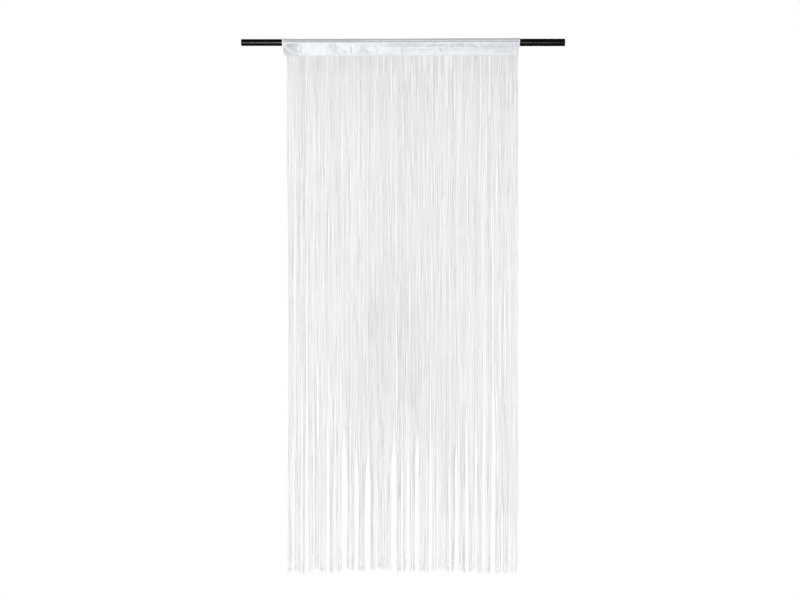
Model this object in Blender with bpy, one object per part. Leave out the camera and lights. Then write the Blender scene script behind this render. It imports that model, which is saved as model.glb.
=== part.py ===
"""String curtain with a sewn pocket along its top, hanging on a telescopic rod.

Units are metres. +Z is up, +X is to the right seen from the front, and the front faces -Y.
The origin is on the rod's axis at mid-length. Heights below the rod are given as drops,
which are positive downwards.
"""

import math

import bmesh
import bpy

# Rod: a thin tube slides in a thick one, and the pocket hides the step between them.
ROD_LENGTH = 1.213
THIN_TUBE_RADIUS = 0.0125
THICK_TUBE_RADIUS = 0.0140
TUBE_WALL = 0.0008
TUBE_END_PLATE = 0.0020
TUBE_SIDES = 32
THICK_TUBE_MOUTH_X = 0.150
TUBE_OVERLAP = 0.200
MERGE_DISTANCE = 1e-6
SHARP_ANGLE_DEG = 40

# Header: one strip of satin taken over the rod and sewn to itself below it.
HEADER_LEFT_X = -0.4546
HEADER_RIGHT_X = 0.4392
HEADER_CLOTH = 0.0012
POCKET_RADIUS_LEFT = 0.01295
POCKET_RADIUS_RIGHT = 0.01520
SEAM_DROP_LEFT = 0.0525
SEAM_DROP_RIGHT = 0.0488
SEAM_HEIGHT = 0.0050
SEAM_THICKNESS = 0.0026
SEAM_FADE = 0.0060
RIGHT_EDGE_SLANT = 0.0060
SLANT_POWER = 12
HEADER_STATIONS = 54
FRONT_SEGMENTS = 7
ARC_SEGMENTS = 14
BACK_SEGMENTS = 4

# How the seam wanders to the front and back of the rod's axis, as waves along it.
WAVE_COLUMNS = ("height", "radians_per_metre", "phase")
SEAM_WAVES = (
    (0.0012, 15.3, 0.6),
    (0.0007, 37.0, 2.1),
)

# Main creases of the header's front. rise is how far the cloth stands out along the crease,
# or in where it is negative; angle is measured from +X.
CREASE_COLUMNS = ("x", "drop", "half_length", "half_width", "angle_deg", "rise")
CREASES = (
    (-0.415, 0.033, 0.026, 0.008, -31, 0.0022),
    (-0.411, 0.019, 0.024, 0.009, -31, -0.0018),
    (-0.385, 0.030, 0.014, 0.009, 90, 0.0010),
    (-0.267, 0.027, 0.030, 0.009, -59, -0.0018),
    (-0.250, 0.030, 0.026, 0.009, -59, 0.0012),
    (-0.195, 0.030, 0.014, 0.009, 90, 0.0010),
    (-0.157, 0.026, 0.022, 0.008, -65, -0.0014),
    (-0.136, 0.026, 0.022, 0.008, 65, -0.0014),
    (-0.146, 0.040, 0.012, 0.010, 0, 0.0018),
    (0.007, 0.014, 0.070, 0.005, 0, 0.0012),
    (0.002, 0.031, 0.014, 0.009, 90, -0.0012),
    (0.064, 0.029, 0.045, 0.005, 0, -0.0010),
    (0.139, 0.026, 0.018, 0.009, -60, 0.0014),
    (0.225, 0.015, 0.030, 0.006, -20, -0.0010),
    (0.356, 0.018, 0.056, 0.009, 0, -0.0013),
    (0.356, 0.036, 0.056, 0.006, 0, 0.0011),
    (0.418, 0.020, 0.022, 0.009, 90, 0.0014),
)

# Lower left corner, where the front layer is drawn back and shows the back layer behind it.
CORNER_COLUMNS = ("x", "drop")
DRAWN_CORNER = (
    (-0.4660, 0.0120),
    (-0.4540, 0.0150),
    (-0.4470, 0.0210),
    (-0.4330, 0.0350),
    (-0.4180, 0.0425),
    (-0.3990, 0.0480),
    (-0.3940, 0.0700),
    (-0.4660, 0.0700),
)
CORNER_CUT_DEPTH = 0.040
BACK_LAYER_Y = -0.0002

# Strings: one comb, its spine along the header's seam. Each row is a bundle of strings, from
# left to right, and the slot on its right-hand side: where that slot is, how far down it opens
# and how wide it gets, then how far down the bundle's left and right ends hang.
STRINGS_LEFT_X = -0.4353
STRINGS_RIGHT_X = 0.4313
STRINGS_THICKNESS = 0.0022
PIECE_GAP = 0.0003
SPINE_DEPTH = 0.012
NARROW_SLOT = 0.0016
OPENING_RUN = 0.20
BUNDLE_COLUMNS = ("slot_x", "opens_drop", "slot_width", "left_end_drop", "right_end_drop")
BUNDLES = (
    (-0.4129, 1.454, 0.0075, 1.984, 1.973),
    (-0.3799, 1.379, 0.0075, 1.972, 1.982),
    (-0.3611, 1.435, 0.0090, 1.984, 1.981),
    (-0.3360, 1.454, 0.0056, 1.983, 1.976),
    (-0.2835, 1.454, 0.0094, 1.968, 1.982),
    (-0.2561, 1.600, 0.0080, 1.974, 1.983),
    (-0.2216, 1.491, 0.0170, 1.970, 1.982),
    (-0.1747, 1.560, 0.0160, 1.966, 1.978),
    (-0.1323, 1.590, 0.0220, 1.979, 1.977),
    (-0.1060, 1.640, 0.0075, 1.976, 1.972),
    (-0.0340, 1.529, 0.0200, 1.965, 1.974),
    (-0.0039, 1.600, 0.0075, 1.975, 1.978),
    (0.0178, 1.560, 0.0140, 1.981, 1.976),
    (0.0336, 1.642, 0.0056, 1.975, 1.977),
    (0.0523, 1.510, 0.0130, 1.973, 1.975),
    (0.1049, 1.529, 0.0100, 1.977, 1.980),
    (0.1274, 1.642, 0.0050, 1.973, 1.970),
    (0.1762, 1.604, 0.0086, 1.968, 1.982),
    (0.2005, 1.529, 0.0120, 1.980, 1.976),
    (0.2392, 1.398, 0.0075, 1.972, 1.986),
    (0.2737, 1.454, 0.0075, 1.981, 1.972),
    (0.3056, 1.416, 0.0120, 1.983, 1.985),
    (0.3375, 1.341, 0.0140, 1.981, 1.984),
    (None, None, None, 1.988, 1.981),
)
COMB_DROPS = (0.15, 0.45, 0.75, 1.00, 1.20, 1.33, 1.44, 1.54, 1.64, 1.74, 1.85)
COLUMN_WIDTH = 0.018
END_UNEVENNESS = 0.0030
END_TURN = 2.2
BUNDLE_STANDOFF = 0.0015
SWAY = 0.0026
SWAY_LENGTH = 0.85
SWAY_START = 0.30
SWAY_PHASE_STEP = 1.9

WHITE_SATIN = (0.90, 0.91, 0.93, 1.0)
WHITE_YARN = (0.93, 0.93, 0.94, 1.0)
BLACK_PAINT = (0.012, 0.012, 0.014, 1.0)


def lerp(start, end, share):
    return start + (end - start) * share


def smooth_step(share):
    """0 up to share 0, 1 from share 1, and a smooth rise between them."""
    share = min(max(share, 0.0), 1.0)
    return share * share * (3.0 - 2.0 * share)


def named_rows(columns, rows):
    return [dict(zip(columns, row)) for row in rows]


def clear_scene():
    for obj in list(bpy.data.objects):
        bpy.data.objects.remove(obj, do_unlink=True)


def material(name, colour, roughness, metallic=0.0):
    made = bpy.data.materials.new(name)
    made.use_nodes = True
    shader = made.node_tree.nodes["Principled BSDF"]
    shader.inputs["Base Color"].default_value = colour
    shader.inputs["Roughness"].default_value = roughness
    shader.inputs["Metallic"].default_value = metallic
    return made


def add_object(name, bm, finish, parent):
    """Turns the bmesh into a named object with one material, under the parent empty."""
    mesh = bpy.data.meshes.new(name)
    bm.to_mesh(mesh)
    bm.free()
    mesh.materials.append(finish)
    obj = bpy.data.objects.new(name, mesh)
    bpy.context.scene.collection.objects.link(obj)
    obj.parent = parent
    return obj


# Rod


def rod_tube(name, radius, length, finish, parent):
    """A tube along +X, closed by a flat plate at x = 0 and open at the other end."""
    bore = radius - TUBE_WALL
    profile = (
        (0.0, 0.0),
        (0.0, radius),
        (length, radius),
        (length, bore),
        (TUBE_END_PLATE, bore),
        (TUBE_END_PLATE, 0.0),
    )
    bm = bmesh.new()
    points = [bm.verts.new((x, 0.0, r)) for x, r in profile]
    edges = [bm.edges.new(pair) for pair in zip(points, points[1:])]
    bmesh.ops.spin(
        bm,
        geom=points + edges,
        cent=(0.0, 0.0, 0.0),
        axis=(1.0, 0.0, 0.0),
        angle=2.0 * math.pi,
        steps=TUBE_SIDES,
    )
    bmesh.ops.remove_doubles(bm, verts=bm.verts, dist=MERGE_DISTANCE)
    bmesh.ops.recalc_face_normals(bm, faces=bm.faces)
    tube = add_object(name, bm, finish, parent)
    tube.data.shade_smooth()
    tube.data.set_sharp_from_angle(angle=math.radians(SHARP_ANGLE_DEG))
    return tube


def build_rod(parent):
    """The thin tube closes the left end and the thick tube the right end."""
    finish = material("black_paint", BLACK_PAINT, roughness=0.42)
    thick_length = ROD_LENGTH / 2 - THICK_TUBE_MOUTH_X
    thin_length = ROD_LENGTH - thick_length + TUBE_OVERLAP
    thin = rod_tube("rod_thin_tube", THIN_TUBE_RADIUS, thin_length, finish, parent)
    thin.location.x = -ROD_LENGTH / 2
    thick = rod_tube("rod_thick_tube", THICK_TUBE_RADIUS, thick_length, finish, parent)
    thick.location.x = ROD_LENGTH / 2
    thick.rotation_euler.z = math.pi


# Header


def header_share(x):
    """How far along the header x is, from 0 at its left end to 1 at its right end."""
    return (x - HEADER_LEFT_X) / (HEADER_RIGHT_X - HEADER_LEFT_X)


def seam_drop(x):
    return lerp(SEAM_DROP_LEFT, SEAM_DROP_RIGHT, header_share(x))


def seam_y(x):
    """How far behind the rod's axis the seam is at x."""
    waves = named_rows(WAVE_COLUMNS, SEAM_WAVES)
    return sum(
        wave["height"] * math.sin(wave["radians_per_metre"] * x + wave["phase"]) for wave in waves
    )


def crease_rise(x, drop, creases):
    """How far the creases lift the front layer at one place."""
    rise = 0.0
    for crease in creases:
        angle = math.radians(crease["angle_deg"])
        right = x - crease["x"]
        up = crease["drop"] - drop
        along = (right * math.cos(angle) + up * math.sin(angle)) / crease["half_length"]
        across = (up * math.cos(angle) - right * math.sin(angle)) / crease["half_width"]
        rise += crease["rise"] * math.exp(-(along**2) - across**2)
    return rise


def pocket_loop(radius, seam_centre_y, half_seam, bottom_drop):
    """Half-teardrop sides tangent to a round top, from the front seam over to the back seam.

    Returns (y, z, angle) rows. angle is measured about the rod from straight down, forwards.
    """
    front_y = half_seam - seam_centre_y
    back_y = half_seam + seam_centre_y
    front_turn = math.atan2(front_y, bottom_drop)
    back_turn = math.atan2(back_y, bottom_drop)
    front_start = front_turn + math.acos(radius / math.hypot(front_y, bottom_drop))
    back_end = 2 * math.pi - back_turn - math.acos(radius / math.hypot(back_y, bottom_drop))

    def on_circle(angle):
        return (-radius * math.sin(angle), -radius * math.cos(angle), angle)

    front_top = on_circle(front_start)
    back_top = on_circle(back_end)
    rows = []
    for i in range(FRONT_SEGMENTS):
        share = i / FRONT_SEGMENTS
        rows.append(
            (lerp(-front_y, front_top[0], share), lerp(-bottom_drop, front_top[1], share), front_start)
        )
    for i in range(ARC_SEGMENTS):
        rows.append(on_circle(lerp(front_start, back_end, i / ARC_SEGMENTS)))
    for i in range(BACK_SEGMENTS + 1):
        share = i / BACK_SEGMENTS
        rows.append(
            (lerp(back_top[0], back_y, share), lerp(back_top[1], -bottom_drop, share), back_end)
        )
    return rows


def crease_offsets(x, inner_rows, outer_rows, pocket_radius, creases):
    """How far each point of a section moves out. No dent takes the cloth into the pocket's bore."""
    lowest = outer_rows[0][1]
    offsets = []
    for (inner_y, inner_z, angle), (_, outer_z, _) in zip(inner_rows, outer_rows):
        rise = 0.0
        if angle < math.pi:
            rise = crease_rise(x, -outer_z, creases) * smooth_step((outer_z - lowest) / SEAM_FADE)
        room = max(math.hypot(inner_y, inner_z) - pocket_radius, 0.0)
        offsets.append(max(rise, -room))
    return offsets


def header_section(bm, share, creases):
    """One cross-section's vertices: the outer loop, the inner loop and the seam's two feet."""
    middle_x = lerp(HEADER_LEFT_X, HEADER_RIGHT_X, share)
    pocket_radius = lerp(POCKET_RADIUS_LEFT, POCKET_RADIUS_RIGHT, share)
    drop = seam_drop(middle_x)
    centre = seam_y(middle_x)
    half_seam = SEAM_THICKNESS / 2
    strip_drop = drop - SEAM_HEIGHT
    outer_rows = pocket_loop(pocket_radius + HEADER_CLOTH, centre, half_seam, strip_drop)
    inner_rows = pocket_loop(pocket_radius, centre, 0.0, strip_drop)
    offsets = crease_offsets(middle_x, inner_rows, outer_rows, pocket_radius, creases)

    def place(y, z, angle, offset):
        slant = RIGHT_EDGE_SLANT * share**SLANT_POWER * smooth_step(-z / drop)
        out_y, out_z = -offset * math.sin(angle), -offset * math.cos(angle)
        return bm.verts.new((middle_x - slant, y + out_y, z + out_z))

    outer = [place(*row, offset) for row, offset in zip(outer_rows, offsets)]
    inner = [place(*row, offset) for row, offset in zip(inner_rows[:-1], offsets)]
    inner.append(inner[0])
    feet = [place(centre + side * half_seam, -drop, 0.0, 0.0) for side in (-1, 1)]
    return outer, inner, feet


def close_end(bm, section):
    """Faces across the cloth's thickness at one end of the pocket."""
    outer, inner, feet = section
    for i in range(len(outer) - 1):
        if inner[i] is inner[i + 1]:
            continue
        bm.faces.new((outer[i], outer[i + 1], inner[i + 1], inner[i]))
    bm.faces.new((feet[0], outer[0], inner[0]))
    bm.faces.new((feet[1], feet[0], inner[0]))
    bm.faces.new((outer[-1], feet[1], inner[0]))


def build_header(parent):
    """A closed sleeve along the rod, open at both ends, with its lower left corner drawn back."""
    creases = named_rows(CREASE_COLUMNS, CREASES)
    bm = bmesh.new()
    sections = [
        header_section(bm, i / HEADER_STATIONS, creases) for i in range(HEADER_STATIONS + 1)
    ]
    for here, there in zip(sections, sections[1:]):
        outer_ring = [here[2][0], *here[0], here[2][1], here[2][0]]
        next_outer = [there[2][0], *there[0], there[2][1], there[2][0]]
        for ring, next_ring in ((outer_ring, next_outer), (here[1], there[1])):
            for i in range(len(ring) - 1):
                bm.faces.new((ring[i], ring[i + 1], next_ring[i + 1], next_ring[i]))
    close_end(bm, sections[0])
    close_end(bm, sections[-1])
    bmesh.ops.recalc_face_normals(bm, faces=bm.faces)
    header = add_object("header", bm, material("white_satin", WHITE_SATIN, roughness=0.45), parent)

    cut = header.modifiers.new("drawn_corner", "BOOLEAN")
    cut.operation = "DIFFERENCE"
    cut.object = corner_cutter(parent)


def corner_cutter(parent):
    """A prism in front of the back layer, in the outline of the drawn corner. It only cuts."""
    corner = named_rows(CORNER_COLUMNS, DRAWN_CORNER)
    bm = bmesh.new()
    outline = [bm.verts.new((row["x"], BACK_LAYER_Y, -row["drop"])) for row in corner]
    face = bm.faces.new(outline)
    grown = bmesh.ops.extrude_face_region(bm, geom=[face])
    front = [item for item in grown["geom"] if isinstance(item, bmesh.types.BMVert)]
    bmesh.ops.translate(bm, verts=front, vec=(0.0, -CORNER_CUT_DEPTH, 0.0))
    bmesh.ops.recalc_face_normals(bm, faces=bm.faces)
    cutter = add_object("corner_cutter", bm, material("cutter", WHITE_SATIN, 0.5), parent)
    cutter.hide_render = True
    cutter.display_type = "WIRE"
    return cutter


# Strings


def slot_edges(row, drop):
    """The left and right edge of one slot at one drop below the rod."""
    opened = smooth_step((drop - row["opens_drop"]) / OPENING_RUN)
    half_width = lerp(NARROW_SLOT, row["slot_width"], opened) / 2
    return row["slot_x"] - half_width, row["slot_x"] + half_width


def bundle_edges(bundles, index, drop):
    """The left and right edge of one bundle at one drop below the rod."""
    left, right = STRINGS_LEFT_X, STRINGS_RIGHT_X
    if index > 0:
        left = slot_edges(bundles[index - 1], drop)[1]
    if index < len(bundles) - 1:
        right = slot_edges(bundles[index], drop)[0]
    return left, right


def bundle_y(index, x, drop):
    """Bundles hang a little before and behind each other and sway slightly on the way down."""
    away = smooth_step((drop - seam_drop(x) - SPINE_DEPTH) / SWAY_START)
    side = BUNDLE_STANDOFF if index % 2 else -BUNDLE_STANDOFF
    wave = SWAY * math.sin(2 * math.pi * drop / SWAY_LENGTH + SWAY_PHASE_STEP * index)
    return lerp(seam_y(x), side + wave, away)


def bundle_levels(bundles, index):
    """How far down each row of a bundle's vertices is, and each vertex's share across it."""
    bundle = bundles[index]
    left, right = bundle_edges(bundles, index, 0.0)
    columns = max(1, round((right - left) / COLUMN_WIDTH))
    shares = [column / columns for column in range(columns + 1)]
    spine_top = [seam_drop(lerp(left, right, share)) + PIECE_GAP for share in shares]
    spine_foot = [drop + SPINE_DEPTH for drop in spine_top]
    ends = [
        lerp(bundle["left_end_drop"], bundle["right_end_drop"], share)
        + END_UNEVENNESS * math.sin(END_TURN * share * columns + index)
        for share in shares
    ]
    return shares, [spine_top, spine_foot, *([drop] * len(shares) for drop in COMB_DROPS), ends]


def bundle_rows(bm, bundles, index):
    """A bundle's vertices, row by row from the top of the spine to the loose ends."""
    shares, levels = bundle_levels(bundles, index)
    rows = []
    for drops in levels:
        row = []
        for share, drop in zip(shares, drops):
            x = lerp(*bundle_edges(bundles, index, drop), share)
            row.append(bm.verts.new((x, bundle_y(index, x, drop), -drop)))
        rows.append(row)
    return rows


def add_strip(bm, upper, lower):
    """Quads between two rows of vertices of the same length."""
    for i in range(len(upper) - 1):
        bm.faces.new((upper[i], lower[i], lower[i + 1], upper[i + 1]))


def build_strings(parent):
    """One comb: a spine under the header's seam, and a tooth for each bundle of strings."""
    bundles = named_rows(BUNDLE_COLUMNS, BUNDLES)
    bm = bmesh.new()
    spine_top, spine_foot = [], []
    for index in range(len(bundles)):
        rows = bundle_rows(bm, bundles, index)
        spine_top += rows[0]
        spine_foot += rows[1]
        for upper, lower in zip(rows[1:], rows[2:]):
            add_strip(bm, upper, lower)
    add_strip(bm, spine_top, spine_foot)
    bmesh.ops.recalc_face_normals(bm, faces=bm.faces)
    strings = add_object("strings", bm, material("white_yarn", WHITE_YARN, roughness=0.8), parent)
    solidify = strings.modifiers.new("thickness", "SOLIDIFY")
    solidify.thickness = STRINGS_THICKNESS
    solidify.offset = 0.0
    solidify.use_even_offset = True


def main():
    clear_scene()
    curtain = bpy.data.objects.new("string_curtain_on_rod", None)
    bpy.context.scene.collection.objects.link(curtain)
    build_rod(curtain)
    build_header(curtain)
    build_strings(curtain)


main()
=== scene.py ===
"""White string curtain with a sewn satin pocket on a black telescopic rod: its finished look.

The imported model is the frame: metres, +Z up, +X to the right seen from the front, and the front
faces -Y. The origin is on the rod's axis at mid-length. Heights below the rod are given as drops,
which are positive downwards.
"""

import logging
import math
from dataclasses import dataclass, field
from enum import Enum

import bpy
import numpy as np
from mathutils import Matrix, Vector


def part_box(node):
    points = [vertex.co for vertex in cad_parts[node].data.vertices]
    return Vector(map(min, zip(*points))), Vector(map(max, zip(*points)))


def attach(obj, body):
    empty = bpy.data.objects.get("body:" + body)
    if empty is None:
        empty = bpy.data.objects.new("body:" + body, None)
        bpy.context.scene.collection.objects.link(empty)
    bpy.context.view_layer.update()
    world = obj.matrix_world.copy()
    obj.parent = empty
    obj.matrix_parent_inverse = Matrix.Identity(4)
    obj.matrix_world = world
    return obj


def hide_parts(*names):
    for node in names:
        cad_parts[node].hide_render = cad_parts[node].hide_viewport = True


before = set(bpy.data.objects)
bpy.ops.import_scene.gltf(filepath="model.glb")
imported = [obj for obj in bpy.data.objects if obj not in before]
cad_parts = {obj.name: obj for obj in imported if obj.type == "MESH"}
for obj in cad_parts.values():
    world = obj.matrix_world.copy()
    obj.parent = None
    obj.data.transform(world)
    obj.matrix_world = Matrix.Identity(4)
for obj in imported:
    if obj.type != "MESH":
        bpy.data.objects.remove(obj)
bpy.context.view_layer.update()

BODY = "root"
FULL_TURN = 2.0 * math.pi
WHITE = (1.0, 1.0, 1.0, 1.0)
CLOTH_MAP = "cloth"
Reading = np.ndarray | float

log = logging.getLogger("string_curtain")


# Small helpers


def smooth_step(share: Reading) -> Reading:
    """Returns 0 up to share 0, 1 from share 1, and a smooth rise between them."""
    held = np.clip(share, 0.0, 1.0)
    return held * held * (3.0 - 2.0 * held)


def lerp(start: Reading, end: Reading, share: Reading) -> Reading:
    """Returns the value at a share of the straight way from start to end."""
    return start + (end - start) * share


def mound(offset: Reading, width: float) -> Reading:
    """Returns a smooth mound: 1 where the offset is 0, fading out over the width on either side."""
    return np.exp(-((offset / width) ** 2))


def along_profile(x: np.ndarray, profile: tuple[tuple[float, float], ...]) -> np.ndarray:
    """Returns a profile's value at each x. The profile is a table of x and value."""
    return np.interp(x, *zip(*profile))


def solid_box(node: str) -> tuple[tuple[float, ...], ...]:
    """Returns the lowest and highest corners of a solid node, to a tenth of a millimetre."""
    return tuple(tuple(round(c, 4) for c in corner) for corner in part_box(node))


@dataclass(frozen=True)
class Ripples:
    """A fixed sum of sine waves of many lengths, which reads as uneven ripples."""

    seed: int
    shortest: float
    longest: float
    height: float
    squeeze: float = 1.0
    waves: int = 9
    slant: float = 0.7

    def at(self, along: Reading, across: Reading = 0.0) -> np.ndarray:
        """Reads the ripples.

        Args:
            along: distance along the ripples' run, in metres.
            across: distance across it, in metres, which the squeeze multiplies.

        Returns:
            Heights of about the ripples' own height, up and down.
        """
        rng = np.random.default_rng(self.seed)
        aside = self.squeeze * across
        total = np.zeros(np.broadcast(along, aside).shape)
        for _ in range(self.waves):
            length = math.exp(rng.uniform(math.log(self.shortest), math.log(self.longest)))
            phase, slant = rng.uniform(0.0, FULL_TURN), rng.uniform(-self.slant, self.slant)
            total = total + np.sin(FULL_TURN * (along + slant * aside) / length + phase)
        return self.height * total / math.sqrt(self.waves / 2.0)


# Node trees


class NodeWeb:
    """A node tree under construction, with short calls for its nodes and links."""

    def __init__(self, tree: bpy.types.NodeTree) -> None:
        """Wraps the tree that nodes are added to."""
        self.tree = tree

    @staticmethod
    def pick(
        sockets: bpy.types.NodeInputs | bpy.types.NodeOutputs, key: int | str
    ) -> bpy.types.NodeSocket:
        """Finds a socket.

        Args:
            sockets: a node's inputs or outputs.
            key: the socket's place or its name.

        Returns:
            The socket. Of several with the name, the one in use.
        """
        if isinstance(key, int):
            return sockets[key]
        return next(s for s in sockets if s.name == key and s.enabled)

    def feed(self, socket: bpy.types.NodeSocket, value: object) -> None:
        """Links or sets an input.

        Args:
            socket: the input.
            value: a socket or a node to link from, or a plain value.
        """
        if isinstance(value, bpy.types.Node):
            value = next(s for s in value.outputs if s.enabled)
        if isinstance(value, bpy.types.NodeSocket):
            self.tree.links.new(value, socket)
        else:
            socket.default_value = value

    def add(self, kind: str, feeds: dict | None = None, **settings: object) -> bpy.types.Node:
        """Adds a node.

        Args:
            kind: the node's type name.
            feeds: what its inputs take, by place or name.
            **settings: its own properties, which are set before its inputs are.

        Returns:
            The new node.
        """
        node = self.tree.nodes.new(kind)
        for name, value in settings.items():
            setattr(node, name, value)
        for key, value in (feeds or {}).items():
            self.feed(self.pick(node.inputs, key), value)
        return node

    def math(self, operation: str, *values: object) -> bpy.types.NodeSocket:
        """Adds a Math node that does an operation on the values, and returns its output."""
        return self.add("ShaderNodeMath", dict(enumerate(values)), operation=operation).outputs[0]

    def ramp(self, value: object, low: float, high: float) -> bpy.types.NodeSocket:
        """Returns the value mapped smoothly, from 0 at low to 1 at high, and clamped."""
        feeds = {"Value": value, "From Min": low, "From Max": high}
        return self.add("ShaderNodeMapRange", feeds, interpolation_type="SMOOTHSTEP").outputs[0]

    def axes(self, vector: object) -> bpy.types.NodeOutputs:
        """Returns a vector's X, Y and Z."""
        return self.add("ShaderNodeSeparateXYZ", {0: vector}).outputs

    def attribute(self, name: str, output: str = "Fac") -> bpy.types.NodeSocket:
        """Returns a named attribute of the mesh, for a shader."""
        return self.add("ShaderNodeAttribute", attribute_name=name).outputs[output]

    def bump(self, height: object, relief: float, strength: float, under: object = None) -> bpy.types.Node:
        """Adds a Bump node for a height pattern with a relief in metres, over the normal under it."""
        feeds = {"Height": height, "Distance": relief, "Strength": strength}
        return self.add("ShaderNodeBump", feeds if under is None else {**feeds, "Normal": under})


class NodeGroup(NodeWeb):
    """A node group with named inputs and outputs."""

    def __init__(self, name: str, kind: str, inputs: dict[str, str], outputs: dict[str, str]) -> None:
        """Makes an empty group.

        Args:
            name: the group's name.
            kind: its tree type.
            inputs: each input's socket type, by name.
            outputs: each output's socket type, by name.
        """
        super().__init__(bpy.data.node_groups.new(name, kind))
        for in_out, sockets in (("INPUT", inputs), ("OUTPUT", outputs)):
            for socket_name, socket_type in sockets.items():
                self.tree.interface.new_socket(name=socket_name, in_out=in_out, socket_type=socket_type)
        self.inputs = self.add("NodeGroupInput").outputs
        self.outputs = self.add("NodeGroupOutput").inputs

    def give(self, **values: object) -> None:
        """Feeds the group's outputs, each by its name."""
        for name, value in values.items():
            self.feed(self.outputs[name], value)


class ShapeTree(NodeGroup):
    """A Geometry Nodes tree that is run on a mesh and leaves a plain mesh."""

    def __init__(self, name: str, inputs: dict[str, str]) -> None:
        """Makes a tree with a geometry in and out.

        Args:
            name: the tree's name.
            inputs: its inputs after the geometry, by name. A seed and a material come last.
        """
        geometry = {"Geometry": "NodeSocketGeometry"}
        last = {"Seed": "NodeSocketInt", "Material": "NodeSocketMaterial"}
        super().__init__(name, "GeometryNodeTree", {**geometry, **inputs, **last}, geometry)
        self.tree.is_modifier = True

    def random(self, low: object, high: object, number: object, draw: int = 0) -> bpy.types.Node:
        """Adds a random number for each strand or point.

        Args:
            low: the least that it can be.
            high: the most.
            number: the strand's or point's own number.
            draw: the draw's number, so that two draws differ.

        Returns:
            The random value's node.
        """
        seed = self.math("ADD", self.inputs["Seed"], float(draw))
        feeds = {"Min": low, "Max": high, "ID": number, "Seed": seed}
        return self.add("FunctionNodeRandomValue", feeds, data_type="FLOAT")

    def named(self, name: str, kind: str = "FLOAT") -> bpy.types.NodeSocket:
        """Returns a named attribute of the geometry. Its kind is its data type."""
        reader = self.add("GeometryNodeInputNamedAttribute", {"Name": name}, data_type=kind)
        return self.pick(reader.outputs, "Attribute")

    def store(
        self, geometry: object, name: str, value: object, kind: str = "FLOAT", domain: str = "POINT"
    ) -> bpy.types.Node:
        """Stores a value on the geometry's points or instances, under a name. Returns the node."""
        feeds = {"Geometry": geometry, "Name": name, "Value": value}
        return self.add("GeometryNodeStoreNamedAttribute", feeds, data_type=kind, domain=domain)

    def ring(self, sides: object, radius: object) -> bpy.types.Node:
        """Makes a round profile that stores the way out from its middle, as the attribute around.

        Args:
            sides: how many sides it has.
            radius: its radius.

        Returns:
            The last node.
        """
        circle = self.add("GeometryNodeCurvePrimitiveCircle", {"Resolution": sides, "Radius": radius})
        position = self.add("GeometryNodeInputPosition")
        outward = self.add("ShaderNodeVectorMath", {0: position}, operation="NORMALIZE")
        return self.store(circle, "around", outward, "FLOAT_VECTOR")

    def sweep(self, curve: object, profile: object, scale: object = 1.0) -> bpy.types.Node:
        """Sweeps a profile along a curve, scaled and with closed ends. Returns the node."""
        feeds = {"Curve": curve, "Profile Curve": profile, "Scale": scale, "Fill Caps": True}
        return self.add("GeometryNodeCurveToMesh", feeds)

    def finish(self, geometry: object) -> None:
        """Realizes, smooths and dresses the geometry, and gives it out.

        Args:
            geometry: the shape so far.
        """
        plain = self.add("GeometryNodeRealizeInstances", {"Geometry": geometry})
        smooth = self.add("GeometryNodeSetShadeSmooth", {"Geometry": plain, "Shade Smooth": True})
        dressed = {"Geometry": smooth, "Material": self.inputs["Material"]}
        self.give(Geometry=self.add("GeometryNodeSetMaterial", dressed))

    def run(self, name: str, guide: bpy.types.Mesh, values: dict[str, object]) -> bpy.types.Object:
        """Runs the tree on a guide mesh.

        Args:
            name: the new piece's name.
            guide: the mesh that the tree starts from.
            values: the tree's inputs, by name.

        Returns:
            The piece, as a plain mesh with no modifier.
        """
        piece = new_object(name, guide)
        modifier = piece.modifiers.new(self.tree.name, "NODES")
        modifier.node_group = self.tree
        for item in self.tree.interface.items_tree:
            if item.item_type == "SOCKET" and item.in_out == "INPUT" and item.name in values:
                modifier[item.identifier] = values[item.name]
        return made_plain(piece)


def new_object(name: str, data: bpy.types.ID) -> bpy.types.Object:
    """Puts a mesh, a light or a camera into the scene.

    Args:
        name: the object's name.
        data: what it shows.

    Returns:
        The object, at the origin.
    """
    made = bpy.data.objects.new(name, data)
    bpy.context.scene.collection.objects.link(made)
    return made


def made_plain(piece: bpy.types.Object) -> bpy.types.Object:
    """Replaces a piece's mesh and modifiers by the mesh that they make.

    Args:
        piece: an object with live modifiers.

    Returns:
        The same object.
    """
    evaluated = piece.evaluated_get(bpy.context.evaluated_depsgraph_get())
    mesh = bpy.data.meshes.new_from_object(evaluated)
    guide = piece.data
    piece.modifiers.clear()
    piece.data = mesh
    bpy.data.meshes.remove(guide)
    mesh.name = piece.name
    return piece


def guide_mesh(
    name: str, lines: list[np.ndarray], values: dict[str, tuple[str, np.ndarray]]
) -> bpy.types.Mesh:
    """Makes a mesh of open lines, or of single points, for a tree to start from.

    Args:
        name: the mesh's name.
        lines: each line's points.
        values: each attribute's data type and its values at all the points in turn.

    Returns:
        The mesh.
    """
    edges, first = [], 0
    for line in lines:
        edges += [(first + i, first + i + 1) for i in range(len(line) - 1)]
        first += len(line)
    mesh = bpy.data.meshes.new(name)
    mesh.from_pydata(np.concatenate(lines).tolist(), edges, [])
    for attribute_name, (kind, data) in values.items():
        attribute = mesh.attributes.new(attribute_name, kind, "POINT")
        member = "vector" if kind == "FLOAT_VECTOR" else "value"
        numbers = np.asarray(data, np.int32 if kind == "INT" else np.float32)
        attribute.data.foreach_set(member, numbers.ravel())
    return mesh


# Finishes


class Slot(Enum):
    """The record's material slots."""

    ROD_PAINT = "rod_paint"
    SATIN = "satin"
    YARN = "yarn"


# A spot's fade over the noise, how far each satin thread's floats are set on from the last one's,
# and the share of a float's wave in which its ends dip.
SPOT_FADES = (0.3, 0.7)
SATIN_STEP = 0.4
FLOAT_ENDS = 0.35


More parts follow.
